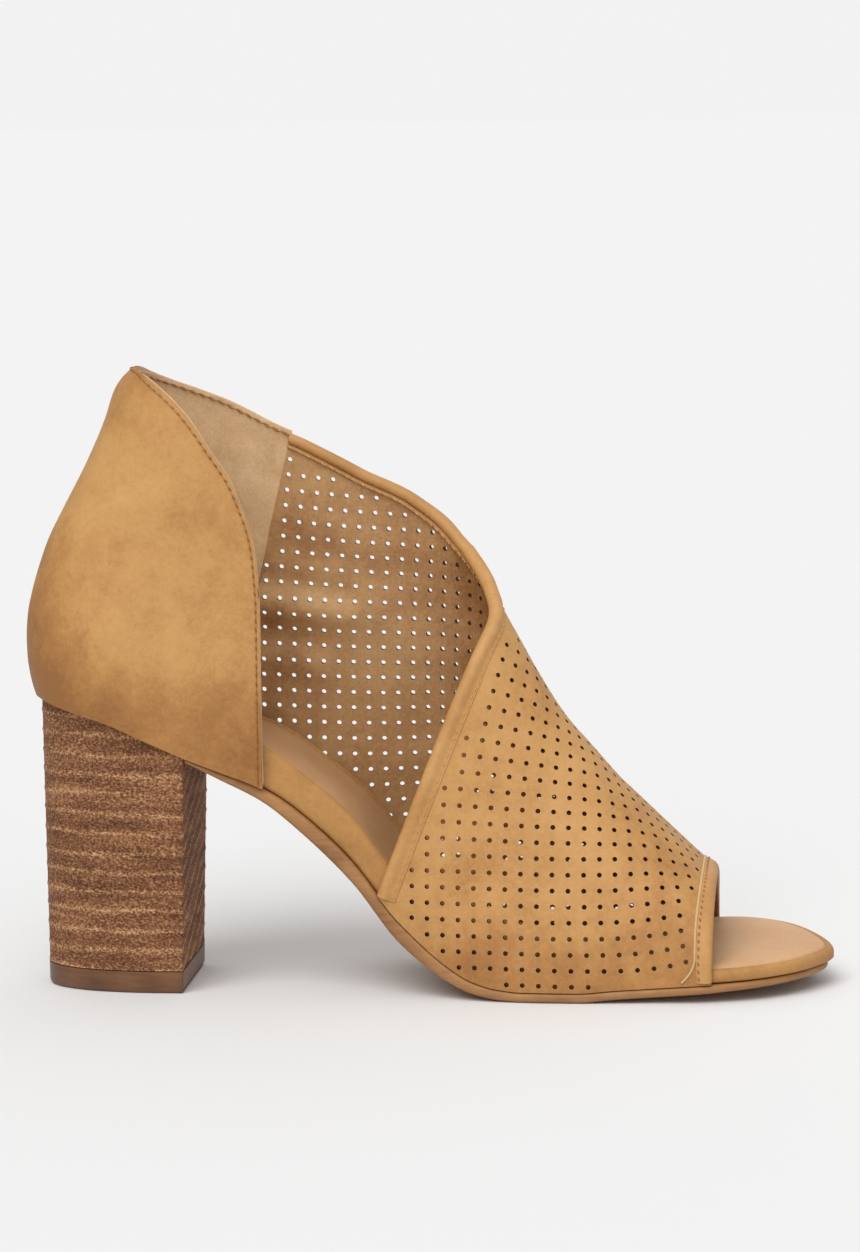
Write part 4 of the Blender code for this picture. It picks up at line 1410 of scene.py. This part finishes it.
def camera():
    """The photograph's camera: a long lens a little above the shoe and ahead of its middle."""
    data = bpy.data.cameras.new("photo_camera")
    data.sensor_fit = "VERTICAL"
    data.sensor_height = 36.0
    data.lens = CAMERA_LENS
    data.shift_x, data.shift_y = CAMERA_SHIFT
    data.clip_start = 0.01
    made = linked("photo_camera", data)
    towards = Vector(CAMERA_AIM) - Vector(CAMERA_PLACE)
    roll = Matrix.Rotation(math.radians(CAMERA_ROLL), 3, "Z")
    turn = towards.to_track_quat("-Z", "Y").to_matrix() @ roll
    made.matrix_world = Matrix.Translation(CAMERA_PLACE) @ turn.to_4x4()
    bpy.context.scene.camera = made


def backdrop():
    """A pale floor of paper that runs far behind the shoe."""
    bm = bmesh.new()
    rings = []
    for y in (-6.0, -2.0, -0.5, 0.5, 2.0, 6.0, 60.0):
        rings.append([bm.verts.new((x, y, 0.0)) for x in (-30.0, 30.0)])
    join_rings(bm, rings, closed=False)
    bmesh.ops.recalc_face_normals(bm, faces=bm.faces)
    made, _, shader = new_finish("paper_floor")
    shader.inputs["Base Color"].default_value = linear("E5E5E5")
    shader.inputs["Roughness"].default_value = 1.0
    shader.inputs["Specular IOR Level"].default_value = 0.0
    mesh = mesh_of(bm, "floor")
    mesh.materials.append(made)
    floor = linked("floor", mesh)


def lights():
    """Soft studio light: a pale room with dark flags at both sides, and a broad key above and
    in front."""
    world = bpy.data.worlds.new("studio")
    world.use_nodes = True
    tree = world.node_tree
    towards = add(tree, "ShaderNodeTexCoord").outputs["Generated"]
    sideways = add(tree, "ShaderNodeSeparateXYZ", {0: towards}).outputs["X"]
    flags = []
    for edge, middle, dim in ((-0.85, -0.35, BACK_FLAG), (0.85, 0.35, FRONT_FLAG)):
        flags.append(add(tree, "ShaderNodeMapRange", {
            "Value": sideways, "From Min": edge, "From Max": middle, "To Min": dim, "To Max": ROOM_LIGHT,
        }, interpolation_type="SMOOTHSTEP").outputs[0])
    level = add(tree, "ShaderNodeMath", {0: flags[0], 1: flags[1]}, operation="MINIMUM").outputs[0]
    tree.links.new(level, tree.nodes["Background"].inputs["Strength"])
    tree.nodes["Background"].inputs["Color"].default_value = (1, 1, 1, 1)
    bpy.context.scene.world = world
    bpy.context.scene.view_settings.view_transform = "Standard"
    data = bpy.data.lights.new("key", "SUN")
    data.angle = math.radians(KEY_SPREAD)
    data.energy = KEY_POWER
    lamp = linked("key", data)
    lamp.location = Vector(KEY_TOWARDS) * 3
    lamp.rotation_euler = (-Vector(KEY_TOWARDS)).to_track_quat("-Z", "Y").to_euler()


def main():
    """Builds the scene: camera, floor, light, finishes and the pieces of the shoe."""
    camera()
    backdrop()
    lights()
    # Painted shade: the quarter darkens towards its top and back, the vamp towards the sole and the flesh
    # side inside the toe; towards the quarter's seat it is partly painted shade, partly wax burnish.
    seat_shade_and_burnish = ShadeAndBurnish((0.30, 0.0, 0.95), 0.078, 0.112, 0.20)
    top_painted_shade = ShadeAndBurnish((0.0, 0.0, 1.0), 0.190, 0.150, 0.13)
    back_painted_shade = ShadeAndBurnish((1.0, 0.0, 0.0), -0.024, 0.0, 0.14)
    sole_painted_shade = ShadeAndBurnish((0.0, 0.0, 1.0), 0.0, 0.036, 0.16)
    toe_painted_shade = ShadeAndBurnish((1.0, -0.2, 0.0), 0.118, 0.075, 0.26)
    tan_stops = ((0.22, "946434"), (0.38, "AE7C46"), (0.50, "C09056"), (0.62, "CA9B61"), (0.75, "D3A66E"))
    tan = leather("waxed_nubuck", tan_stops, shade_and_burnish=(seat_shade_and_burnish, top_painted_shade, back_painted_shade))
    vamp_tan = leather("waxed_nubuck_vamp", tan_stops, shade_and_burnish=(sole_painted_shade,))
    lined = ((0.15, "6E4526"), (0.35, "96693F"), (0.5, "B4895A"), (0.7, "CDA674"))
    inside = leather("flesh_side_leather", lined, (0.42, 0.62), grain=0.0009, shade_and_burnish=(toe_painted_shade,))
    cut = leather("punched_edge", ((0.3, "3E2412"), (0.7, "5A3A20")))
    edge = leather("folded_nubuck", ((0.3, "A27340"), (0.5, "BC8B53"), (0.7, "CE9F65")), cloud=0.02)
    rand_tan = leather("rand_nubuck", ((0.3, "946637"), (0.5, "B08049"), (0.7, "C4955A")))
    sock_stops = ((0.3, "B98D60"), (0.5, "C99D70"), (0.7, "D5AD83"))
    sock_finish = leather("sock_sheepskin", sock_stops, roughness=(0.45, 0.6), relief=0.00003)
    lining = suede("pigskin_suede", ((0.3, "B8946A"), (0.5, "CFAB80"), (0.7, "E0BF97")))
    thread = waxed_thread("waxed_thread_tan", "C8975A")
    dark_thread = waxed_thread("waxed_thread_brown", "A06D38")
    pale_thread = waxed_thread("waxed_piping_pale", "CFAE7C")
    rubber_tans = ((0.3, "86592E"), (0.5, "9E6F40"), (0.7, "B08049"))
    rubber = sole_rubber("outsole_rubber_tan", rubber_tans, 0.55)
    rubber_browns = ((0.3, "553621"), (0.5, "6C4629"), (0.7, "7F5636"))
    tip_rubber = sole_rubber("top_lift_rubber_brown", rubber_browns, 0.42)
    vamp_and_bindings(vamp_tan, inside, cut, edge, thread, dark_thread, pale_thread)
    quarter(tan, lining, dark_thread)
    sole(rand_tan, sock_finish, rubber)
    heel_stack(stacked_leather("stacked_leather_board"))
    heel_tip(tip_rubber)


main()
